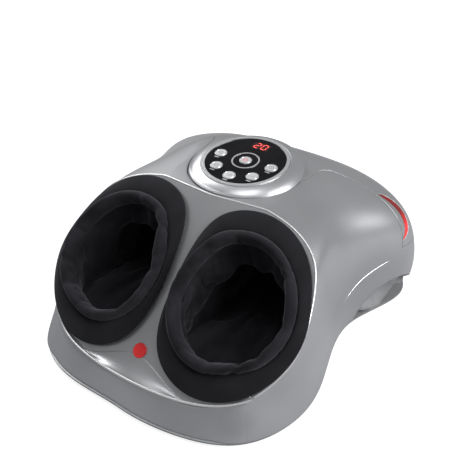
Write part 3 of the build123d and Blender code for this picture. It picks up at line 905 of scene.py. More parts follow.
@dataclass(frozen=True)
class DeckHalf:
    """One half of the sloping deck, with its own flat coordinates in millimetres.

    Attributes:
        side: Which half it is.
        tilt: How steeply it falls to the front, in degrees.
        roof: How far it falls from the ridge to the side, in degrees.
        origin: The ridge's upper end.
    """

    side: Side
    tilt: float = 43.0
    roof: float = 4.0
    origin: tuple[float, float, float] = (0.0, -62.04, 176.6)

    def axes(self) -> tuple[Points, Points, Points]:
        """The deck's own directions.

        Returns:
            Across, uphill and square to it.
        """
        rise, fall = math.radians(self.tilt), math.radians(self.roof)
        normal = np.array([self.side.value * math.sin(fall), -math.sin(rise) * math.cos(fall),
                           math.cos(rise) * math.cos(fall)])
        uphill = np.array([0.0, math.cos(rise), math.sin(rise)])
        return np.cross(uphill, normal), uphill, normal

    def place(self, flat: Points, height: float | Points) -> Points:
        """Points on the deck half at a height over it.

        Args:
            flat: Rows of x and y on the deck.
            height: One height, or one for each row.

        Returns:
            Points in the object's frame, in millimetres.
        """
        across, uphill, normal = self.axes()
        return (np.array(self.origin) + np.outer(flat[:, 0], across) + np.outer(flat[:, 1], uphill)
                + np.outer(np.broadcast_to(height, len(flat)), normal))

    def height(self, places: Points) -> Points:
        """Heights over the deck half of places in the object's frame, in millimetres."""
        return (places - self.origin) @ self.axes()[2]


@dataclass
class FootOpening:
    """A padded foot opening: collar, cuff with a rolled hem, and the lining of the pocket.

    Lengths are in millimetres where nothing else is said.

    Attributes:
        side: Which half it is on.
        finishes: The materials.
        trees: The Geometry Nodes trees.
        count: Points round each outline.
        spread: The opening's middle across, from the ridge.
        centre: Its middle uphill, from the deck's origin.
        collar_half: Half the collar's width and depth.
        seam_half: Half the width and depth of the cuff's seam line.
        frame_thick: Thickness of the hard frame under the collar.
        pad_rise: Thickness of the collar's padding.
        overhang: How far the collar reaches inside the seam line.
        sole: Height of the pocket's floor over the ground.
        tunnel_half: Half the width of the tunnel for the toes.
        tunnel_roof: Height of its roof over the ground.
        tunnel_round: Radius of its upper corners.
        tunnel_ends: Depths at which it starts and ends.
        fold_axis: Depth of the upright line that the lining's folds run round.
        cell: Size of the lining's even cells in metres.
        cloth_thick: Thickness of the lining in metres.
        collar_edge: The collar's rolled edge: distances inwards and heights.
        crown: The collar's face: shares of the way to the seam, and heights.
        cuff_profile: The cuff's section: distance inwards, height, and how loose it is.
        collar_shares: The collar's outline, as shares of its half sizes.
        seam_shares: The seam line, in the same way.
        seeds: The fixed seeds of the cuff's gathers and the lining's folds, for each side.
    """

    side: Side
    finishes: Finishes
    trees: Trees
    count: int = 160
    spread: float = 85.0
    centre: float = -76.0
    collar_half: Flat = (87.0, 113.0)
    seam_half: Flat = (75.0, 84.0)
    frame_thick: float = 2.5
    pad_rise: float = 9.5
    overhang: float = 9.0
    sole: float = 48.0
    tunnel_half: float = 56.0
    tunnel_roof: float = 132.0
    tunnel_round: float = 40.0
    tunnel_ends: Flat = (-100.0, 110.0)
    fold_axis: float = -120.0
    cell: float = 0.0045
    cloth_thick: float = 0.0009
    collar_edge: Sequence[Flat] = ((0.6, 2.7), (-0.2, 3.4), (-0.5, 4.6), (-0.1, 6.0), (1.0, 6.9), (2.4, 7.5))
    crown: Sequence[Flat] = ((0.12, 0.9), (0.28, 1.9), (0.45, 2.6), (0.62, 2.8), (0.78, 2.3), (0.9, 1.3))
    cuff_profile: Sequence[tuple[float, float, float]] = (
        (1.2, -0.6, 0.0), (0.3, 0.6, 0.0), (0.0, 2.6, 0.1), (0.2, 5.2, 0.25), (0.9, 8.0, 0.4),
        (2.3, 10.8, 0.55), (4.4, 13.0, 0.7), (7.0, 14.0, 0.8), (9.6, 13.3, 0.9), (11.6, 11.2, 1.0),
        (12.7, 8.0, 1.0), (13.0, 4.0, 1.0), (12.8, 0.0, 0.8), (12.4, -4.0, 0.5), (12.0, -8.0, 0.2),
        (11.0, -8.2, 0.0), (10.6, -4.0, 0.0), (9.4, -1.2, 0.0), (5.0, -0.9, 0.0))
    collar_shares: Sequence[Flat] = (
        (-0.90, -0.02), (-0.86, 0.42), (-0.66, 0.80), (-0.17, 0.97), (0.26, 0.93), (0.70, 0.70),
        (0.99, 0.27), (1.08, -0.10), (0.93, -0.53), (0.53, -0.88), (-0.12, -1.01), (-0.66, -0.80))
    seam_shares: Sequence[Flat] = (
        (-0.97, 0.0), (-0.84, 0.46), (-0.56, 0.83), (-0.12, 0.97), (0.34, 0.91), (0.78, 0.60),
        (1.02, 0.15), (1.03, -0.22), (0.82, -0.62), (0.42, -0.88), (-0.10, -1.0), (-0.66, -0.76))
    seeds: dict[Side, tuple[int, int]] = field(
        default_factory=lambda: {Side.RIGHT: (7, 31), Side.LEFT: (19, 43)})

    def outline(self, shares: Sequence[Flat], half: Flat, distance: float) -> Points:
        """An outline on the deck half, moved inwards.

        Args:
            shares: Its points as shares of the half sizes.
            half: Half its width and half its depth.
            distance: How far inwards, in millimetres.

        Returns:
            Rows of x and y, counter-clockwise.
        """
        sign = self.side.value
        points = [(sign * (self.spread + x * half[0]), self.centre + y * half[1]) for x, y in shares]
        return spline_ring(inset(points if sign < 0 else points[::-1], distance), self.count)

    def collar_ring(self, distance: float, height: float | Points) -> Points:
        """The collar's outer outline at a distance inwards and a height over the deck."""
        return DeckHalf(self.side).place(self.outline(self.collar_shares, self.collar_half, distance), height)

    def seam_ring(self, distance: float, height: float | Points) -> Points:
        """The cuff's seam line at a distance inwards and a height over the deck."""
        return DeckHalf(self.side).place(self.outline(self.seam_shares, self.seam_half, distance), height)

    def collar(self) -> bpy.types.Object:
        """The padded collar, crowned between its rolled outer edge and the cuff's seam.

        Returns:
            The finished piece.
        """
        top = self.frame_thick + self.pad_rise
        rings = [self.collar_ring(*place) for place in self.collar_edge]
        edge, seam = rings[-1], self.seam_ring(-1.2, top - 1.6)
        plane = DeckHalf(self.side)
        normal = plane.axes()[2]
        rings += [edge + (seam - edge) * share + normal * rise for share, rise in self.crown]
        inner = self.overhang - 0.2
        rings += [seam, self.seam_ring(1.0, top - 1.9), self.seam_ring(self.overhang - 1.5, top - 2.0),
                  self.seam_ring(inner, top - 3.2), self.seam_ring(inner, 2.9)]
        piece = self.closed_piece("collar_", rings)
        normals = np.array([vertex.normal for vertex in piece.data.vertices])
        steep = normals @ normal < 0.3
        low = plane.height(places_of(piece.data.vertices)) < self.collar_edge[-1][1] - 0.3
        ClothPass(pressure=6.0, cap=1.6).run(piece, np.flatnonzero(steep | low))
        subdivide(piece)
        dress(piece, self.finishes.nap, ["collar_pad_" + self.side.word])
        return piece

    def closed_piece(self, name: str, rings: Sequence[Points]) -> bpy.types.Object:
        """A closed piece from rings round the opening, the last joined to the first.

        Args:
            name: The piece's name without its side.
            rings: The rings, in millimetres.

        Returns:
            The new piece.
        """
        faces = ring_faces(len(rings), self.count, True)
        return outward(mesh_piece(name + self.side.word, np.vstack(rings), faces))

    def gathers(self, turns: Points) -> Points:
        """How much the cloth is pinched at each turn, in narrow folds at uneven steps.

        Args:
            turns: Angles round the opening, in radians.

        Returns:
            From 0, smooth, to 1, the bottom of a fold.
        """
        dice = np.random.default_rng(self.seeds[self.side][0])
        pinch = np.zeros(len(turns))
        for middle in np.linspace(0, 2 * math.pi, 11, endpoint=False) + dice.uniform(-0.22, 0.22, 11):
            width, depth = dice.uniform(0.05, 0.11), dice.uniform(0.25, 1.0)
            away = (turns - middle + math.pi) % (2 * math.pi) - math.pi
            pinch += depth * np.exp(-(away / width) ** 2)
        return np.minimum(pinch, 1.0)

    def loose_ring(self, distances: Points, heights: Points) -> Points:
        """The seam line moved inwards by its own distance at each point, at its own height."""
        near, far = self.seam_ring(0.0, heights), self.seam_ring(10.0, heights)
        return near + (far - near) * (np.asarray(distances) / 10.0)[:, None]

    def cuff(self) -> bpy.types.Object:
        """The cuff: a soft roll of fabric, gathered where it turns down into the pocket.

        Returns:
            The finished piece.
        """
        base = self.frame_thick + self.pad_rise - 1.6
        turns = np.linspace(0, 2 * math.pi, self.count, endpoint=False)
        pinch = self.gathers(turns)
        swell = 0.8 * np.sin(3 * turns + 0.7) + 0.6 * np.sin(7 * turns + 2.1 * self.side.value)
        rings = []
        for distance, height, loose in self.cuff_profile:
            inwards = distance + loose * (swell - 3.4 * pinch) * (distance / 12.0)
            lift = base + height + loose * (0.7 * swell - 2.0 * pinch)
            rings.append(self.loose_ring(inwards, lift))
        piece = self.closed_piece("cuff_fabric_", rings)
        low = DeckHalf(self.side).height(places_of(piece.data.vertices)) < base + 0.8
        ClothPass(pressure=1.5, growth=0.07, cap=2.2, stiffness=0.06).run(piece, np.flatnonzero(low))
        subdivide(piece)
        return dress(piece, self.finishes.lining, ["cuff_" + self.side.word])

    def well(self) -> list[Points]:
        """The way in, from the cuff down to the sole.

        Returns:
            Its rings, from the top.
        """
        gap = self.overhang + 1.2
        top = self.frame_thick + self.pad_rise - 1.0
        low = self.seam_ring(gap, -6.0)
        rings = [self.seam_ring(gap, top), self.seam_ring(gap, 3.0), low]
        for share in (0.2, 0.4, 0.6, 0.8, 1.0):
            ring = low.copy()
            ring[:, 2] += (self.sole + 0.6 - low[:, 2]) * share
            rings.append(ring)
        return rings

    def cavity(self) -> bpy.types.Object:
        """The closed space of the pocket: the way in and the tunnel for the toes.

        Returns:
            The new piece.
        """
        rings = self.well()
        count = self.count
        points = np.vstack([*rings, rings[0].mean(0), rings[-1].mean(0)])
        faces = ring_faces(len(rings), count, False)
        last = (len(rings) - 1) * count
        for i in range(count):
            j = (i + 1) % count
            faces.append((j, i, len(points) - 2))
            faces.append((last + i, last + j, len(points) - 1))
        x, half, bend = self.side.value * self.spread, self.tunnel_half - 0.6, self.tunnel_round
        arch = [(x - half, self.sole + 0.6), (x + half, self.sole + 0.6)]
        roof = self.tunnel_roof - bend - 0.6
        for centre, start in ((x + half - bend, 0), (x - half + bend, 90)):
            for step in range(9):
                turn = math.radians(start + 90 * step / 8)
                arch.append((centre + bend * math.cos(turn), roof + bend * math.sin(turn)))
        size, base = len(arch), len(points)
        rows = [[(px, y, pz) for px, pz in arch] for y in self.tunnel_ends]
        points = np.vstack([points, *rows])
        faces += [tuple(base + i for i in face) for face in ring_faces(2, size, False)]
        faces += [tuple(base + i for i in reversed(range(size))), tuple(base + size + i for i in range(size))]
        return outward(mesh_piece("pocket_" + self.side.word, points, faces))

    def drape(self, form: bmesh.types.BMesh, limit: float) -> None:
        """Pulls the pocket's wall inwards into long slanting folds that fade towards the sole.

        Args:
            form: The pocket's mesh.
            limit: Height over the deck at which the lining is held.
        """
        places = places_of(form.verts)
        under = limit - DeckHalf(self.side).height(places)
        across = (places[:, 0] - self.side.value * self.spread) * self.side.value
        turn = np.arctan2(places[:, 1] - self.fold_axis, across)
        depth = np.clip(under / 22.0, 0, 1)
        level = np.clip((places[:, 2] - self.sole - 1.0) / 30.0, 0, 1)
        dice = np.random.default_rng(self.seeds[self.side][1])
        push = np.zeros(len(places))
        for middle in np.linspace(-math.pi, math.pi, 13, endpoint=False) + dice.uniform(-0.2, 0.2, 13):
            width, height = dice.uniform(0.07, 0.17), dice.uniform(2.0, 6.5)
            slant = dice.uniform(-0.006, 0.009)
            away = (turn - middle - slant * under + math.pi) % (2 * math.pi) - math.pi
            push += height * np.exp(-(away / width) ** 2)
        push += 0.8 * np.sin(0.11 * places[:, 1] + 5 * turn) + 0.8
        push *= depth * level * np.clip((105.0 - places[:, 1]) / 30.0, 0, 1)
        for vertex, share in zip(form.verts, push):
            vertex.co -= vertex.normal * float(min(share, 8.0)) * MM

    def lining(self) -> bpy.types.Object:
        """The lining: the pocket's inner wall, rounded where it turns and gathered into soft folds.

        Returns:
            The finished piece.
        """
        piece = even_cells(self.cavity(), self.cell)
        plane = DeckHalf(self.side)
        form = bmesh.new()
        form.from_mesh(piece.data)
        relax(form, 6)
        limit = self.frame_thick + self.pad_rise - 4.5
        high = plane.height(places_of(form.verts)) > limit
        bmesh.ops.delete(form, geom=[v for v, above in zip(form.verts, high) if above], context="VERTS")
        form.normal_update()
        form.to_mesh(piece.data)
        places = places_of(form.verts)
        on_sole = (places[:, 2] < self.sole + 3) & (places[:, 1] > -40)
        held = np.flatnonzero((plane.height(places) > limit - 4) | on_sole)
        piece.data.update()
        ClothPass(pressure=0.0, growth=0.16, cap=6.5, stiffness=0.08).run(piece, held, outward_cap=0.3)
        form.clear()
        form.from_mesh(piece.data)
        form.normal_update()
        self.drape(form, limit)
        for face in form.faces:
            face.normal_flip()
        form.to_mesh(piece.data)
        form.free()
        wall = piece.modifiers.new("cloth", "SOLIDIFY")
        wall.thickness, wall.offset = self.cloth_thick, -1.0
        subdivide(piece)
        piece.name = "lining_" + self.side.word
        return dress(piece, self.finishes.lining, ["foot_liner_" + self.side.word])

    def stitching(self) -> bpy.types.Object:
        """The row of stitches that holds the cuff to the collar.

        Returns:
            The finished piece.
        """
        ring = self.seam_ring(-2.6, self.frame_thick + self.pad_rise - 0.55)
        edges = [(i, (i + 1) % self.count) for i in range(self.count)]
        piece = line_piece("stitches_" + self.side.word, ring * MM, edges)
        self.trees.stitches.run(piece, Count=150, Length=0.0022, Width=0.0006, Material=self.finishes.thread)
        return dress(piece, self.finishes.thread)

    def build(self) -> None:
        """Makes the opening's pieces."""
        self.collar()
        self.cuff()
        self.lining()
        self.stitching()


@dataclass
class Studio:
    """The pale floor, the lamps and the camera at the photograph's angle.

    Attributes:
        azimuth: The camera's turn from the front towards the right, in degrees.
        elevation: Its height over the horizon, in degrees.
        target: What it looks at, in metres.
        distance: How far it stands from that, in metres.
        lens: Its focal length in millimetres on a sensor 36 mm wide.
        lamps: Place, width in metres and power in watts of each soft lamp.
        room: Colour and strength of the room's even light.
        floor_colour: The floor's own colour.
        floor_glow: How bright the camera sees the floor beside its light.
    """

    azimuth: float = 33.42
    elevation: float = 34.02
    target: tuple[float, float, float] = (0.0510, -0.0620, 0.1753)
    distance: float = 0.8183
    lens: float = 53.47
    lamps: Sequence[tuple[tuple[float, float, float], float, float]] = (
        ((-1.2, 0.4, 1.12), 1.1, 14.0), ((1.36, 0.10, 1.06), 1.3, 27.0), ((0.1, -0.3, 1.8), 0.8, 6.0))
    room: tuple[Colour, float] = ((0.92, 0.93, 0.95), 0.26)
    floor_colour: Colour = (0.40, 0.40, 0.41)
    floor_glow: float = 0.84

    def camera(self) -> None:
        """Places the camera."""
        turn, rise = math.radians(self.azimuth), math.radians(self.elevation)
        back = Vector((math.sin(turn) * math.cos(rise), -math.cos(turn) * math.cos(rise), math.sin(rise)))
        data = bpy.data.cameras.new("camera")
        data.lens, data.sensor_width = self.lens, 36.0
        data.clip_start = 0.01
        camera = add_object("camera", data)
        camera.location = Vector(self.target) + back * self.distance
        camera.rotation_euler = (-back).to_track_quat("-Z", "Y").to_euler()
        bpy.context.scene.camera = camera

    def light(self) -> None:
        """Places the soft lamps and the even light of the room."""
        for number, (place, size, power) in enumerate(self.lamps):
            data = bpy.data.lights.new("softbox %d" % number, "AREA")
            data.shape, data.size, data.energy = "DISK", size, power
            lamp = add_object(data.name, data)
            lamp.location = place
            lamp.rotation_euler = (Vector((0, 0, 0.08)) - Vector(place)).to_track_quat("-Z", "Y").to_euler()
        world = bpy.data.worlds.new("room")
        bpy.context.scene.world = world
        world.use_nodes = True
        tree = world.node_tree
        tree.nodes.clear()
        output = tree.nodes.new("ShaderNodeOutputWorld")
        room = tree.nodes.new("ShaderNodeBackground")
        colour, strength = self.room
        room.inputs["Color"].default_value = (*colour, 1)
        room.inputs["Strength"].default_value = strength
        seen = tree.nodes.new("ShaderNodeBackground")
        seen.inputs["Color"].default_value = (1, 1, 1, 1)
        path = tree.nodes.new("ShaderNodeLightPath")
        mix = tree.nodes.new("ShaderNodeMixShader")
        tree.links.new(path.outputs["Is Camera Ray"], mix.inputs["Fac"])
        tree.links.new(room.outputs["Background"], mix.inputs[1])
        tree.links.new(seen.outputs["Background"], mix.inputs[2])
        tree.links.new(mix.outputs["Shader"], output.inputs["Surface"])

    def floor(self) -> None:
        """Lays the pale floor."""
        corners = np.array([(-1, -1, 0), (1, -1, 0), (1, 1, 0), (-1, 1, 0)], float)
        piece = mesh_piece("floor", corners * 3000, [(0, 1, 2, 3)])
        shader = Shader("pale floor")
        matt = shader.node("ShaderNodeBsdfDiffuse")
        matt.inputs["Color"].default_value = (*self.floor_colour, 1)
        own = shader.node("ShaderNodeEmission", Strength=self.floor_glow)
        nothing = shader.node("ShaderNodeEmission", Strength=0.0)
        path = shader.node("ShaderNodeLightPath")
        mix = shader.node("ShaderNodeMixShader")
        add = shader.node("ShaderNodeAddShader")
        shader.link(path.outputs["Is Camera Ray"], mix.inputs["Fac"])
        shader.link(nothing.outputs[0], mix.inputs[1])
        shader.link(own.outputs[0], mix.inputs[2])
        shader.link(matt.outputs[0], add.inputs[0])
        shader.link(mix.outputs[0], add.inputs[1])
        shader.link(add.outputs[0], shader.output.inputs["Surface"])
        piece.data.materials.append(shader.material)

    def build(self) -> None:
        """Sets up the whole studio."""
        bpy.context.scene.view_settings.view_transform = "Standard"
        self.camera()
        self.light()
        self.floor()


@dataclass
class AirBag:
    """The bag over each instep, swollen a little between its two films and welded along its rim.

    Attributes:
        side: Which half it is on.
        finishes: The materials.
        voxel: Size of the mesh's cells in metres.
        slack: How much smaller it starts, in metres, so that it may swell.
        quilt: Depth and spacing in metres of the waves across it.
    """

    side: Side
    finishes: Finishes
    voxel: float = 0.0034
    slack: float = 0.0008
    quilt: Flat = (0.00035, 0.034)

    def build(self) -> bpy.types.Object:
        """Makes the bag.

        Returns:
            The finished piece.
        """
        node = "air_bag_" + self.side.word
        piece = add_object("bag_film_" + self.side.word, frame["nodes"][node].data.copy())
        even_cells(piece, self.voxel)
        form = bmesh.new()
        form.from_mesh(piece.data)
        relax(form, 3)
        form.normal_update()
        middle = (min(v.co.y for v in form.verts) + max(v.co.y for v in form.verts)) / 2
        depth, spacing = self.quilt
        for vertex in form.verts:
            wave = depth * math.cos((vertex.co.y - middle) * 2 * math.pi / spacing)
            vertex.co -= vertex.normal * (self.slack + wave)
        form.to_mesh(piece.data)
        form.free()
        piece.data.update()
        ClothPass(pressure=3.0, cap=0.5, stiffness=0.3, frames=12).run(piece)
        subdivide(piece)
        dress(piece, self.finishes.bag, [node])
        return piece


def cad_tree(node: str) -> BVHTree:
    """A search tree of a CAD node's faces.

    Args:
        node: The node.

    Returns:
        The tree.
    """
    mesh = frame["nodes"][node].data
    return BVHTree.FromPolygons([v.co for v in mesh.vertices], [tuple(p.vertices) for p in mesh.polygons])


def ease(share: Points) -> Points:
    """A share from 0 to 1 that starts and ends slowly."""
    return share * share * (3 - 2 * share)


@dataclass
class FrontWall:
    """The upright front of the cover, below a rounded edge of the deck.

    Attributes:
        finishes: The materials.
        low: Height of the cover's rim in millimetres.
        drawn_in: How far the wall's foot lies behind the CAD rim, in millimetres.
        fillet: Length of the rounding on each side of the edge, in millimetres.
        skin: Thickness of the wall in metres.
        reach: How far the cut goes beyond the wall, in millimetres.
        lift: How far the surface lies over the CAD deck, in millimetres.
        sunk: How far the wall's ends lie inside the cover, in millimetres.
        levels: Shares of the way down the wall at which it has a row of points.
        table: The edge's right half: place across, depth and height, in millimetres.
    """

    finishes: Finishes
    low: float = 8.3
    drawn_in: float = 3.5
    fillet: float = 5.0
    skin: float = 0.0012
    reach: float = 60.0
    lift: float = 0.08
    sunk: float = 0.5
    levels: Sequence[float] = (0.0, 0.14, 0.28, 0.42, 0.56, 0.70, 0.85, 1.0)
    table: Sequence[tuple[float, float, float]] = (
        (0.0, -216.6, 41.0), (35.0, -215.4, 40.2), (57.0, -213.0, 40.3), (80.0, -208.9, 42.0),
        (103.0, -202.6, 45.0), (122.0, -193.0, 47.2), (137.0, -184.7, 50.2), (148.0, -175.4, 56.7))

    def edge(self) -> tuple[Points, Points, Points]:
        """The edge from left to right.

        Returns:
            Its points, the outward directions in plan and how near each is to an end, from 0 to 1.
        """
        table = np.array(self.table)
        end = table[-1, 0]
        across = np.linspace(-end, end, 119)
        share = (across / end) ** 2
        fits = [np.polynomial.Polynomial.fit((table[:, 0] / end) ** 2, table[:, k], 3) for k in (1, 2)]
        points = np.stack([across, fits[0](share), fits[1](share)], 1)
        along = np.gradient(points[:, :2], axis=0)
        along /= np.linalg.norm(along, axis=1)[:, None]
        near = ease(np.clip((np.abs(across) - 112.0) / 36.0, 0, 1))
        return points, np.stack([along[:, 1], -along[:, 0], np.zeros(len(across))], 1), near

    def wall(self) -> tuple[Points, Points]:
        """The wall below the edge. In its middle it is straight, and towards its ends it joins the CAD cover.

        Returns:
            Its distances in front of the edge and its heights, one row for each point of the edge.
        """
        tree = cad_tree("front_cover")
        points, outward_ways, near = self.edge()
        shares = np.array(self.levels)
        heights = points[:, 2:] + (self.low - points[:, 2:]) * shares
        found = np.zeros_like(heights)
        for i, (point, way) in enumerate(zip(points, outward_ways)):
            for j, height in enumerate(heights[i]):
                x, y, _ = (point + way * self.reach) * MM
                spot = tree.ray_cast(Vector((x, y, height * MM)), Vector(-way))
                if spot[0] is not None:
                    found[i, j] = self.reach - spot[3] / MM
        foot = found[:, -1:] - self.drawn_in * (1 - near[:, None])
        steps = foot * shares * (1 - near[:, None]) + np.clip(found, 0, None) * near[:, None]
        ends = np.clip((np.abs(points[:, :1]) - 142.0) / 6.0, 0, 1)
        return steps - self.sunk * ends, heights

    def deck_height(self, places: Points) -> Points:
        """The CAD deck's height over places in plan.

        Args:
            places: Rows of points in millimetres, whose own heights don't count.

        Returns:
            The heights in millimetres.
        """
        heights = []
        for side in Side:
            plane = DeckHalf(side)
            normal, origin = plane.axes()[2], np.array(plane.origin)
            heights.append(origin[2] - ((places[:, :2] - origin[:2]) @ normal[:2]) / normal[2])
        return np.minimum(*heights)

    def rows(self) -> list[Points]:
        """The visible surface, from the deck over the edge to the rim.

        Returns:
            Its rows of points in millimetres, each from left to right.
        """
        points, ways, _ = self.edge()
        steps, heights = self.wall()
        behind = 3.0 + 24.0 * (1 - ease(np.clip(np.abs(points[:, 0]) / 100.0, 0, 1)))
        border = points - ways * behind[:, None]
        border[:, 2] = self.deck_height(border) + self.lift
        wall = [np.column_stack([(points + ways * steps[:, j:j + 1])[:, :2], heights[:, j]])
                for j in range(heights.shape[1])]
        rise = points[:, 2] - self.deck_height(points)
        rows = []
        rounding = np.minimum(self.fillet, 0.5 * behind) / behind
        for share in (0.0, 0.2, 0.4, 0.6, 0.8, 1.0):
            way = share * (1 - rounding)
            place = border + (points - border) * way[:, None]
            place[:, 2] = self.deck_height(place) + self.lift + rise * way * way
            rows.append(place)
        start = rows[-1]
        for share in (0.25, 0.5, 0.75):
            rows.append((1 - share) ** 2 * start + 2 * share * (1 - share) * points + share ** 2 * wall[1])
        return rows + wall[1:]

    def cutter(self) -> bpy.types.Object:
        """The space in front of the wall, which is cut from the cover.

        Returns:
            A closed form.
        """
        points, ways, _ = self.edge()
        steps, heights = self.wall()
        profile = [(self.reach, -6.0), (steps[:, -1] - 0.2, -6.0)]
        profile += [(steps[:, j] - 0.2, heights[:, j]) for j in range(heights.shape[1] - 1, -1, -1)]
        profile += [(-0.2, points[:, 2] + 30.0), (self.reach, points[:, 2] + 30.0)]
        columns = []
        for step, height in profile:
            place = points + ways * np.broadcast_to(step, len(points))[:, None]
            place[:, 2] = height
            columns.append(place)
        rings = np.stack(columns, 1)[2:-2]
        count, last = len(profile), (len(rings) - 1) * len(profile)
        faces = ring_faces(len(rings), count, False)
        faces += [tuple(reversed(range(count))), tuple(last + i for i in range(count))]
        return outward(mesh_piece("front_cutter", rings.reshape(-1, 3), faces, smooth=False))

    def carry_normals(self, source: bpy.types.Mesh, target: bpy.types.Mesh) -> None:
        """Gives a cut copy of a CAD mesh the normals of the CAD mesh's nearest faces.

        Args:
            source: The CAD mesh.
            target: The cut copy.
        """
        source.calc_loop_triangles()
        places = np.array([vertex.co for vertex in source.vertices])
        corners = np.array([tuple(t.loops) for t in source.loop_triangles])
        spots = np.array([tuple(t.vertices) for t in source.loop_triangles])
        normals = np.array([corner.vector for corner in source.corner_normals])
        tree = BVHTree.FromPolygons([Vector(p) for p in places], [tuple(s) for s in spots])
        found = []
        for polygon in target.polygons:
            for index in polygon.vertices:
                corner = target.vertices[index].co
                spot, _, face, _ = tree.find_nearest(corner.lerp(polygon.center, 0.02))
                a, b, c = (Vector(places[k]) for k in spots[face])
                area = (b - a).cross(c - a)
                size = max(area.length_squared, 1e-20)
                shares = [(c - b).cross(spot - b).dot(area) / size, (a - c).cross(spot - c).dot(area) / size]
                shares.append(1 - sum(shares))
                normal = sum((Vector(normals[corners[face][k]]) * shares[k] for k in range(3)), Vector())
                found.append(normal.normalized() if normal.dot(polygon.normal) > 0 else polygon.normal.copy())
        target.normals_split_custom_set(found)

    def build(self) -> None:
        """Cuts a copy of the cover and sets the wall in it."""
        source = frame["nodes"]["front_cover"]
        cover = add_object("front_cover_form", source.data.copy())
        merge(cover, 2e-6)
        own_normals = cover.data.attributes.get("custom_normal")
        if own_normals:
            cover.data.attributes.remove(own_normals)
        cut_away(cover, self.cutter())
        self.carry_normals(source.data, cover.data)
        dress(cover, self.finishes.silver, ["front_cover"])
        rows = self.rows()
        count = len(rows[0])
        faces = [(r * count + i, (r + 1) * count + i, (r + 1) * count + i + 1, r * count + i + 1)
                 for r in range(len(rows) - 1) for i in range(count - 1)]
        wall = mesh_piece("front_wall", np.vstack(rows), faces)
        if sum(polygon.normal.z - polygon.normal.y for polygon in wall.data.polygons) < 0:
            wall.data.flip_normals()
        thick = wall.modifiers.new("skin", "SOLIDIFY")
        thick.thickness, thick.offset = self.skin, -1.0
        flatten_modifiers(wall)
        wall.data.set_sharp_from_angle(angle=math.radians(40))
        dress(wall, self.finishes.silver)


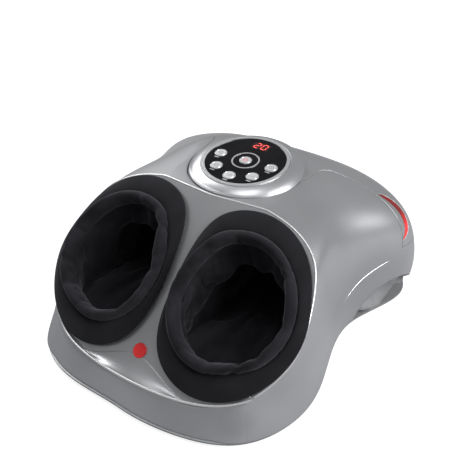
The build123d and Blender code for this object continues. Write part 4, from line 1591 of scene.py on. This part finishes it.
@dataclass
class HousingTrim:
    """What the housing shows beside its covers: beads lightened as painted highlights, recess skins, the
    badge, feet and screws.

    Attributes:
        finishes: The materials.
        trees: The Geometry Nodes trees.
        bead_radius: Radius of the deck's rounded edge in metres.
        bead_sunk: How far its middle lies under the deck, in metres.
        bead_step: Distance between its points, in metres.
        bead_least: Length below which a line gets no bead, in metres.
        crease_radius: Radius of the line on each flank in metres.
        crease: The flank line: height, depth and how far it is sunk, in metres.
        recess: How far a finger recess's own axis lies from the middle, and its height, in metres.
        recess_ends: Depths of the middles of its rounded ends, in metres.
        recess_radius: Radius of a recess in metres.
        paint: How far its skin lies over the pan's wall, in metres.
        badge_place: How far down the ridge the badge sits from the deck's origin, in millimetres.
        badge_sunk: How far its foot lies inside the cover, in millimetres.
    """

    finishes: Finishes
    trees: Trees
    bead_radius: float = 0.0016
    bead_sunk: float = 0.0010
    bead_step: float = 0.003
    bead_least: float = 0.02
    crease_radius: float = 0.0011
    crease: Sequence[tuple[float, float, float]] = (
        (0.058, 0.020, 0.0009), (0.066, 0.030, 0.0003), (0.074, 0.043, 0.0), (0.081, 0.058, 0.0),
        (0.087, 0.076, 0.0), (0.0915, 0.096, 0.0002), (0.094, 0.112, 0.0009))
    recess: Flat = (0.190, 0.032)
    recess_ends: Flat = (0.08122, 0.16192)
    recess_radius: float = 0.026
    paint: float = 0.0003
    badge_place: float = 170.0
    badge_sunk: float = 1.0

    def deck_edge(self) -> list[list[Vector]]:
        """The lines where the deck meets the sides, read from the CAD cover.

        Returns:
            The lines, each a list of points in metres.
        """
        form = bmesh.new()
        form.from_mesh(frame["nodes"]["front_cover"].data)
        bmesh.ops.remove_doubles(form, verts=form.verts, dist=2e-5)
        form.normal_update()
        chosen = []
        for edge in form.edges:
            flags = [self.on_deck(face) for face in edge.link_faces]
            if sorted(flags) != [False, True]:
                continue
            other = edge.link_faces[flags.index(False)]
            middle = (edge.verts[0].co + edge.verts[1].co) / 2
            if other.normal.z >= -0.05 and self.on_rim(middle):
                chosen.append(edge)
        beside: dict[int, list] = {}
        for edge in chosen:
            for vertex in edge.verts:
                beside.setdefault(vertex.index, []).append(edge)
        lines, used = [], set()
        starts = [v for v, edges in beside.items() if len(edges) == 1] + list(beside)
        form.verts.ensure_lookup_table()
        for start in starts:
            line, here = [form.verts[start].co.copy()], start
            while True:
                ahead = [e for e in beside[here] if e.index not in used]
                if not ahead:
                    break
                used.add(ahead[0].index)
                here = ahead[0].other_vert(form.verts[here]).index
                line.append(form.verts[here].co.copy())
            if len(line) > 6:
                lines.append(line)
        form.free()
        return lines

    def on_deck(self, face: bmesh.types.BMFace) -> bool:
        """Tells whether a face lies in the plane of a deck half.

        Args:
            face: A face of the CAD cover.

        Returns:
            Whether it does.
        """
        for side in Side:
            plane = DeckHalf(side)
            normal = Vector(plane.axes()[2])
            away = abs((face.calc_center_median() - Vector(plane.origin) * MM).dot(normal))
            if face.normal.dot(normal) > 0.999 and away < 0.0004:
                return True
        return False

    def on_rim(self, point: Vector) -> bool:
        """Tells whether a point of the deck's boundary is on its outer rim, not round a foot opening.

        Args:
            point: The point in metres.

        Returns:
            Whether it is.
        """
        for side in Side:
            plane = DeckHalf(side)
            across, uphill, _ = plane.axes()
            away = np.array(point) / MM - plane.origin
            x, y = away @ across * side.value - FootOpening.spread, away @ uphill - FootOpening.centre
            if (x / 78.0) ** 2 + (y / 92.0) ** 2 < 1.0:
                return False
        return True

    def edge_bead(self) -> None:
        """Makes the rounded edge of the deck, along the front wall and then along the CAD cover, with a
        painted highlight from its lighter silver.
        """
        points, edges = [], []
        front = FrontWall(self.finishes).edge()[0] * MM
        lines = [front[::-1]]
        for line in self.deck_edge():
            row = np.array([tuple(p) for p in line])
            beside = np.flatnonzero((np.abs(row[:, 0]) > front[-1, 0]) | (row[:, 1] > front[-1, 1]))
            runs = np.split(beside, np.flatnonzero(np.diff(beside) > 1) + 1)
            lines += [row[run] for run in runs if len(run) > 3]
        for row in lines:
            ways = np.concatenate([[0], np.cumsum(np.linalg.norm(np.diff(row, axis=0), axis=1))])
            if ways[-1] < self.bead_least:
                continue
            even = np.linspace(0, ways[-1], max(int(ways[-1] / self.bead_step), 4))
            row = np.stack([np.interp(even, ways, row[:, k]) for k in range(3)], 1)
            for _ in range(3):
                row[1:-1] = (row[:-2] + 2 * row[1:-1] + row[2:]) / 4
            row -= DeckHalf(Side.RIGHT).axes()[2] * [0, 1, 1] * self.bead_sunk
            edges += [(len(points) + i, len(points) + i + 1) for i in range(len(row) - 1)]
            points += [tuple(p) for p in row]
        self.bead_piece("deck_edge", points, edges, self.bead_radius)

    def recess_skins(self) -> None:
        """Makes the painted skin of each finger recess, laid on the pan's rounded wall."""
        source = frame["nodes"]["base_pan"].data
        places = np.array([vertex.co for vertex in source.vertices])
        across, level = self.recess
        for side in Side:
            ends = np.array([[side.value * across, depth, level] for depth in self.recess_ends])
            length = np.linalg.norm(ends[1] - ends[0])
            run = (ends[1] - ends[0]) / length
            along = np.clip((places - ends[0]) @ run, 0, length)
            towards = ends[0] + along[:, None] * run - places
            away = np.linalg.norm(towards, axis=1)
            near = (np.abs(away - self.recess_radius) < 0.0003) & (places[:, 2] > 0.0079)
            faces = [tuple(p.vertices) for p in source.polygons if all(near[i] for i in p.vertices)]
            if not faces:
                continue
            used = sorted({i for face in faces for i in face})
            order = {old: new for new, old in enumerate(used)}
            moved = (places + towards / np.maximum(away, 1e-9)[:, None] * self.paint)[used] / MM
            piece = mesh_piece("recess_skin_" + side.word, moved, [tuple(order[i] for i in f) for f in faces])
            merge(piece, 2e-5)
            dress(piece, self.finishes.pan)

    def creases(self) -> None:
        """Makes the fine raised line on each flank, above the hand hold, whose lighter silver paints a
        highlight along it.
        """
        tree = cad_tree("front_cover")
        points, edges = [], []
        for side in Side:
            row = []
            for level, depth, sunk in self.crease:
                origin = Vector((side.value * 0.3, depth, level))
                spot, normal, _, _ = tree.ray_cast(origin, Vector((-side.value, 0, 0)))
                if spot is not None:
                    row.append(tuple(spot - normal * (0.0005 + sunk)))
            edges += [(len(points) + i, len(points) + i + 1) for i in range(len(row) - 1)]
            points += row
        self.bead_piece("flank_lines", points, edges, self.crease_radius)

    def bead_piece(self, name: str, points: Sequence[Sequence[float]], edges: Sequence[tuple[int, int]],
                   radius: float) -> None:
        """Makes a bead along lines in the lighter silver, which paints a highlight on it.

        Args:
            name: The piece's name.
            points: The lines' points in metres.
            edges: Which points follow each other.
            radius: The bead's radius in metres.
        """
        piece = line_piece(name, points, edges)
        # The lighter silver paints a highlight along the bead.
        self.trees.bead.run(piece, Radius=radius, Material=self.finishes.silver_edge)
        dress(piece, self.finishes.silver_edge)

    def badge(self) -> None:
        """Makes the domed badge with its raised rim, which stands for the plain disc."""
        profile = [(8.95, 0.0), (8.95, 1.5), (8.6, 1.8), (8.1, 1.8), (7.8, 1.45), (6.5, 1.62), (4.5, 1.76),
                   (2.2, 1.84)]
        dome = self.turned("badge_dome", profile, 64)
        deck = DeckHalf(Side.RIGHT)
        places = places_of(dome.data.vertices) + (0.0, -self.badge_place, -self.badge_sunk)
        dome.data.vertices.foreach_set("co", (tilted(places, deck.origin, deck.tilt) * MM).ravel())
        dome.data.update()
        dress(dome, self.finishes.red_lens, ["badge"])

    def spots(self, node: str, count: int) -> list[tuple[float, float, float]]:
        """Where each separate solid of a CAD node stands.

        Args:
            node: The node, whose solids lie more than 30 mm apart.
            count: How many solids it has.

        Returns:
            The middle of each solid's low end, in millimetres.
        """
        left = places_of(frame["nodes"][node].data.vertices)
        spots = []
        while len(left) and len(spots) < count:
            near = np.linalg.norm(left[:, :2] - left[0, :2], axis=1) < 30.0
            low, high = left[near].min(0), left[near].max(0)
            spots.append((*(low + high)[:2] / 2, low[2]))
            left = left[~near]
        return spots

    def turned(self, name: str, profile: Sequence[Flat], count: int = 40) -> bpy.types.Object:
        """A closed form turned about the upright axis.

        Args:
            name: The piece's name.
            profile: Rows of radius and height in millimetres, from the low end to the high end.
            count: Steps round it.

        Returns:
            The new piece.
        """
        angles = np.linspace(0, 2 * math.pi, count, endpoint=False)
        rings = [np.stack([r * np.cos(angles), r * np.sin(angles), np.full(count, z)], 1) for r, z in profile]
        faces = ring_faces(len(rings), count, False)
        last = (len(rings) - 1) * count
        faces += [tuple(reversed(range(count))), tuple(last + i for i in range(count))]
        return outward(mesh_piece(name, np.vstack(rings), faces))

    def copies(self, node: str, count: int, template: bpy.types.Object, material: bpy.types.Material,
               slot: str) -> None:
        """Puts a copy of a template on each solid of a CAD node, which they replace.

        Args:
            node: The node.
            count: How many solids it has.
            template: The form, with its low end at height zero.
            material: The finish.
            slot: The record's slot; not used.
        """
        piece = mesh_piece(node + "_set", np.array(self.spots(node, count)), [])
        self.trees.copies.run(piece, Template=template, Material=material)
        bpy.data.objects.remove(template)
        shade(piece.data, False)
        dress(piece, material, [node])

    def feet(self) -> None:
        """Makes the rubber feet, with a rounded rim and a ring of grip ribs underneath."""
        profile = [(3.0, 0.5), (4.2, 0.5), (4.6, 0.0), (6.0, 0.0), (6.4, 0.5), (8.0, 0.5), (8.4, 0.0),
                   (11.4, 0.0), (12.5, 0.6), (13.0, 1.9), (13.0, 5.5)]
        self.copies("rubber_feet", 4, self.turned("foot_form", profile), self.finishes.rubber, "rubber")

    def screws(self) -> None:
        """Makes the cross-recess screws under the pan."""
        profile = [(3.1, 0.0), (3.8, 0.7), (3.8, 2.2), (2.0, 2.2), (2.0, 16.6), (0.6, 18.2)]
        form = self.turned("screw_form", profile, 24)
        for x, y in ((0.45, 2.3), (2.3, 0.45)):
            corners = np.array([(across, along, height) for height in (-0.5, 1.2)
                                for across, along in ((-x, -y), (x, -y), (x, y), (-x, y))], float)
            faces = [(3, 2, 1, 0), (4, 5, 6, 7), *ring_faces(2, 4, False)]
            cut_away(form, outward(mesh_piece("cross_cutter", corners, faces, smooth=False)))
        self.copies("housing_screws", 5, form, self.finishes.steel, "steel")

    def build(self) -> None:
        """Makes the trim."""
        self.edge_bead()
        self.creases()
        self.recess_skins()
        self.badge()
        self.feet()
        self.screws()


@dataclass
class ControlPanel:
    """The round touch panel: symbols on its keys, lit digits and printed strips.

    Attributes:
        finishes: The materials.
        centre: The middle of the panel's face, in millimetres.
        tilt: How far it leans towards the user, in degrees.
        circle: Radius of the circle the keys stand on, in millimetres.
        key_radius: Radius of a key, in millimetres.
        key_top: Height of a key's face over the panel, in millimetres.
        angles: Where each small key stands on the circle, in degrees.
    """

    finishes: Finishes
    centre: tuple[float, float, float] = (0.0, 42.3, 211.5)
    tilt: float = 6.0
    circle: float = 38.3
    key_radius: float = 8.1
    key_top: float = 1.2
    angles: dict[str, float] = field(default_factory=lambda: {
        "mode": 180.0, "heat": 225.0, "air": 270.0, "strength": 315.0, "timer": 0.0})

    def spot(self, name: str) -> Flat:
        """The middle of a key on the panel.

        Args:
            name: The key.

        Returns:
            Its place across and up the panel.
        """
        if name == "power":
            return 0.0, 0.0
        turn = math.radians(self.angles[name])
        return self.circle * math.cos(turn), self.circle * math.sin(turn)

    def tube(self, path: Sequence[Flat], width: float, base: float, rise: float,
             closed: bool = False) -> tuple[list, list]:
        """A flat raised line along a path on the panel.

        Args:
            path: The line's points.
            width: Its width in millimetres.
            base: The height it stands on.
            rise: How far it stands up.
            closed: Whether it runs back to its start.

        Returns:
            Points and faces.
        """
        line = np.asarray(path, float)
        ahead = np.roll(line, -1, 0) - line
        behind = line - np.roll(line, 1, 0)
        if not closed:
            ahead[-1], behind[0] = behind[-1], ahead[0]
        run = sum(way / np.linalg.norm(way, axis=1)[:, None] for way in (ahead, behind))
        run /= np.linalg.norm(run, axis=1)[:, None]
        side = np.stack([-run[:, 1], run[:, 0]], 1) * width / 2
        points, faces = [], []
        for here, edge in zip(line, side):
            for flat, height in ((here + edge, base), (here + edge * 0.7, base + rise),
                                 (here - edge * 0.7, base + rise), (here - edge, base)):
                points.append((*flat, height))
        count = len(line)
        for i in range(count if closed else count - 1):
            a, b = 4 * i, 4 * ((i + 1) % count)
            faces += [(a + k, a + (k + 1) % 4, b + (k + 1) % 4, b + k) for k in range(4)]
        if not closed:
            faces += [(3, 2, 1, 0), tuple(4 * (count - 1) + k for k in range(4))]
        return points, faces

    def arc(self, radius: float, start: float, end: float, x: float = 0.0, y: float = 0.0) -> list[Flat]:
        """Points on an arc.

        Args:
            radius: Its radius.
            start: The angle at which it starts, in degrees.
            end: The angle at which it ends.
            x: Its middle across.
            y: Its middle upwards.

        Returns:
            The points.
        """
        steps = max(4, int(abs(end - start) / 12))
        turns = [math.radians(start + (end - start) * k / steps) for k in range(steps + 1)]
        return [(x + radius * math.cos(turn), y + radius * math.sin(turn)) for turn in turns]

    def symbol_lines(self, name: str) -> list[tuple[list[Flat], bool]]:
        """The lines of a key's symbol.

        Args:
            name: The key.

        Returns:
            The points of each line about the key's middle, and whether it is closed.
        """
        ring = self.arc(3.1, 0, 360)[:-1]
        lines = {
            "power": [(self.arc(3.0, 125, 415), False), ([(0, 0.6), (0, 3.9)], False)],
            "mode": [(ring, True), (self.arc(1.1, 0, 360)[:-1], True)],
            "heat": [([(x + 0.7 * math.sin(k * 1.1), -3 + k * 0.75) for k in range(9)], False)
                     for x in (-2.2, 0, 2.2)],
            "air": [([(-3.2, y), (1.6, y), *self.arc(1.0, -90, 120, 1.8, y + 1.0)], False)
                    for y in (-2.0, 0.6)],
            "strength": [([(x, -2.8), (x, -2.8 + h)], False) for x, h in ((-2.6, 1.8), (0, 3.6), (2.6, 5.4))],
            "timer": [(ring, True), ([(0, 2.0), (0, 0), (1.5, -0.8)], False)],
        }
        return lines[name]

    def combine(self, name: str, parts: Sequence[tuple[list, list]]) -> bpy.types.Object:
        """One mesh from several lines on the panel.

        Args:
            name: The piece's name.
            parts: Points and faces of each line.

        Returns:
            The new piece.
        """
        points, faces = [], []
        for some, their in parts:
            faces += [tuple(i + len(points) for i in face) for face in their]
            points += some
        places = tilted(np.array(points), self.centre, self.tilt)
        return outward(mesh_piece(name, places, faces, smooth=False))

    def symbols(self) -> None:
        """Makes the symbol and the bright rim of each key."""
        for name in ("power", *self.angles):
            x, y = self.spot(name)
            width, colour, slot = 0.6, self.finishes.symbol, "display_plastic"
            if name == "power":
                width, colour, slot = 0.75, self.finishes.red_symbol, "red_lens"
            parts = [self.tube([(x + a, y + b) for a, b in line], width, self.key_top, 0.08, closed)
                     for line, closed in self.symbol_lines(name)]
            dress(self.combine(name + "_symbol", parts), colour, body=name + "_key")
            circle = self.arc(self.key_radius - 1.0, 0, 360, x, y)[:-1]
            rim = self.combine(name + "_key_rim", [self.tube(circle, 0.9, self.key_top, 0.22, True)])
            dress(rim, self.finishes.bright, body=name + "_key")

    def digits(self) -> None:
        """Makes the lit segments of the two digits, which read 20."""
        x, y = 0.0, self.circle
        width, height, slant = 6.6, 11.4, 0.9
        lit = {"2": "abged", "0": "abcdef"}
        ends = {
            "a": ((0, 1), (1, 1)), "b": ((1, 1), (1, 0.5)), "c": ((1, 0.5), (1, 0)), "d": ((0, 0), (1, 0)),
            "e": ((0, 0.5), (0, 0)), "f": ((0, 1), (0, 0.5)), "g": ((0, 0.5), (1, 0.5)),
        }
        parts = []
        for digit, left in (("2", -8.9), ("0", 1.6)):
            for segment in lit[digit]:
                a, b = (np.array(end) * (width, height) for end in ends[segment])
                a, b = a + (b - a) * 0.14, b - (b - a) * 0.14
                line = [(x + left + p[0] + slant * p[1] / height, y - height / 2 + p[1]) for p in (a, b)]
                parts.append(self.tube(line, 1.35, -0.2, 0.06))
        dress(self.combine("lit_digits", parts), self.finishes.segment)

    def strips(self) -> None:
        """Makes the plain printed strip beside each small key."""
        parts = []
        for name in self.angles:
            x, y = self.spot(name)
            low = y - self.key_radius - 1.9
            parts.append(self.tube([(x - 3.4, low), (x + 3.4, low)], 1.1, 0.0, 0.05))
        dress(self.combine("printed_strips", parts), self.finishes.label)

    def build(self) -> None:
        """Makes the panel's details."""
        self.symbols()
        self.digits()
        self.strips()


@dataclass
class CarriedNodes:
    """The CAD nodes that stay as they are and get their finishes.

    Attributes:
        finishes: The materials.
    """

    finishes: Finishes

    def table(self) -> dict[str, bpy.types.Material]:
        """The finish of each record slot.

        Returns:
            Materials by slot.
        """
        kit = self.finishes
        return {
            "silver_plastic": kit.silver, "dark_plastic": kit.dark_plastic, "black_gloss": kit.black_gloss,
            "chrome_trim": kit.bright, "red_lens": kit.red_lens, "rubber": kit.rubber, "steel": kit.steel,
            "circuit_board": kit.board, "switch_plastic": kit.switch, "key_plastic": kit.key,
            "display_plastic": kit.display, "drive_plastic": kit.drive, "hose_rubber": kit.hose,
            "black_fabric": kit.nap, "bag_film": kit.bag, "gear_plastic": kit.gear, "motor_metal": kit.motor,
            "heater_film": kit.heater,
        }

    def build(self) -> None:
        """Gives every CAD node the finish of its slot."""
        slots = {entry["node"]: entry["material_slot"] for entry in frame["record"]["subparts"]}
        finish = self.table()
        crescent = self.finishes.crescent
        own = {"base_pan": self.finishes.pan, "accent_lens_right": crescent, "accent_lens_left": crescent}
        for name, node in frame["nodes"].items():
            material = own.get(name, finish[slots[name]])
            for slot in node.material_slots:
                slot.material = material
            if not node.material_slots:
                node.data.materials.append(material)
        LOG.info("%d CAD nodes finished", len(frame["nodes"]))


def main() -> None:
    """Builds the scene, piece by piece."""
    logging.basicConfig(level=logging.INFO, format="%(name)s: %(message)s")
    finishes = Finishes()
    Studio().build()
    CarriedNodes(finishes).build()
    trees = Trees()
    FrontWall(finishes).build()
    HousingTrim(finishes, trees).build()
    for side in Side:
        FootOpening(side, finishes, trees).build()
        AirBag(side, finishes).build()
    ControlPanel(finishes).build()


if __name__ == "__main__":
    main()
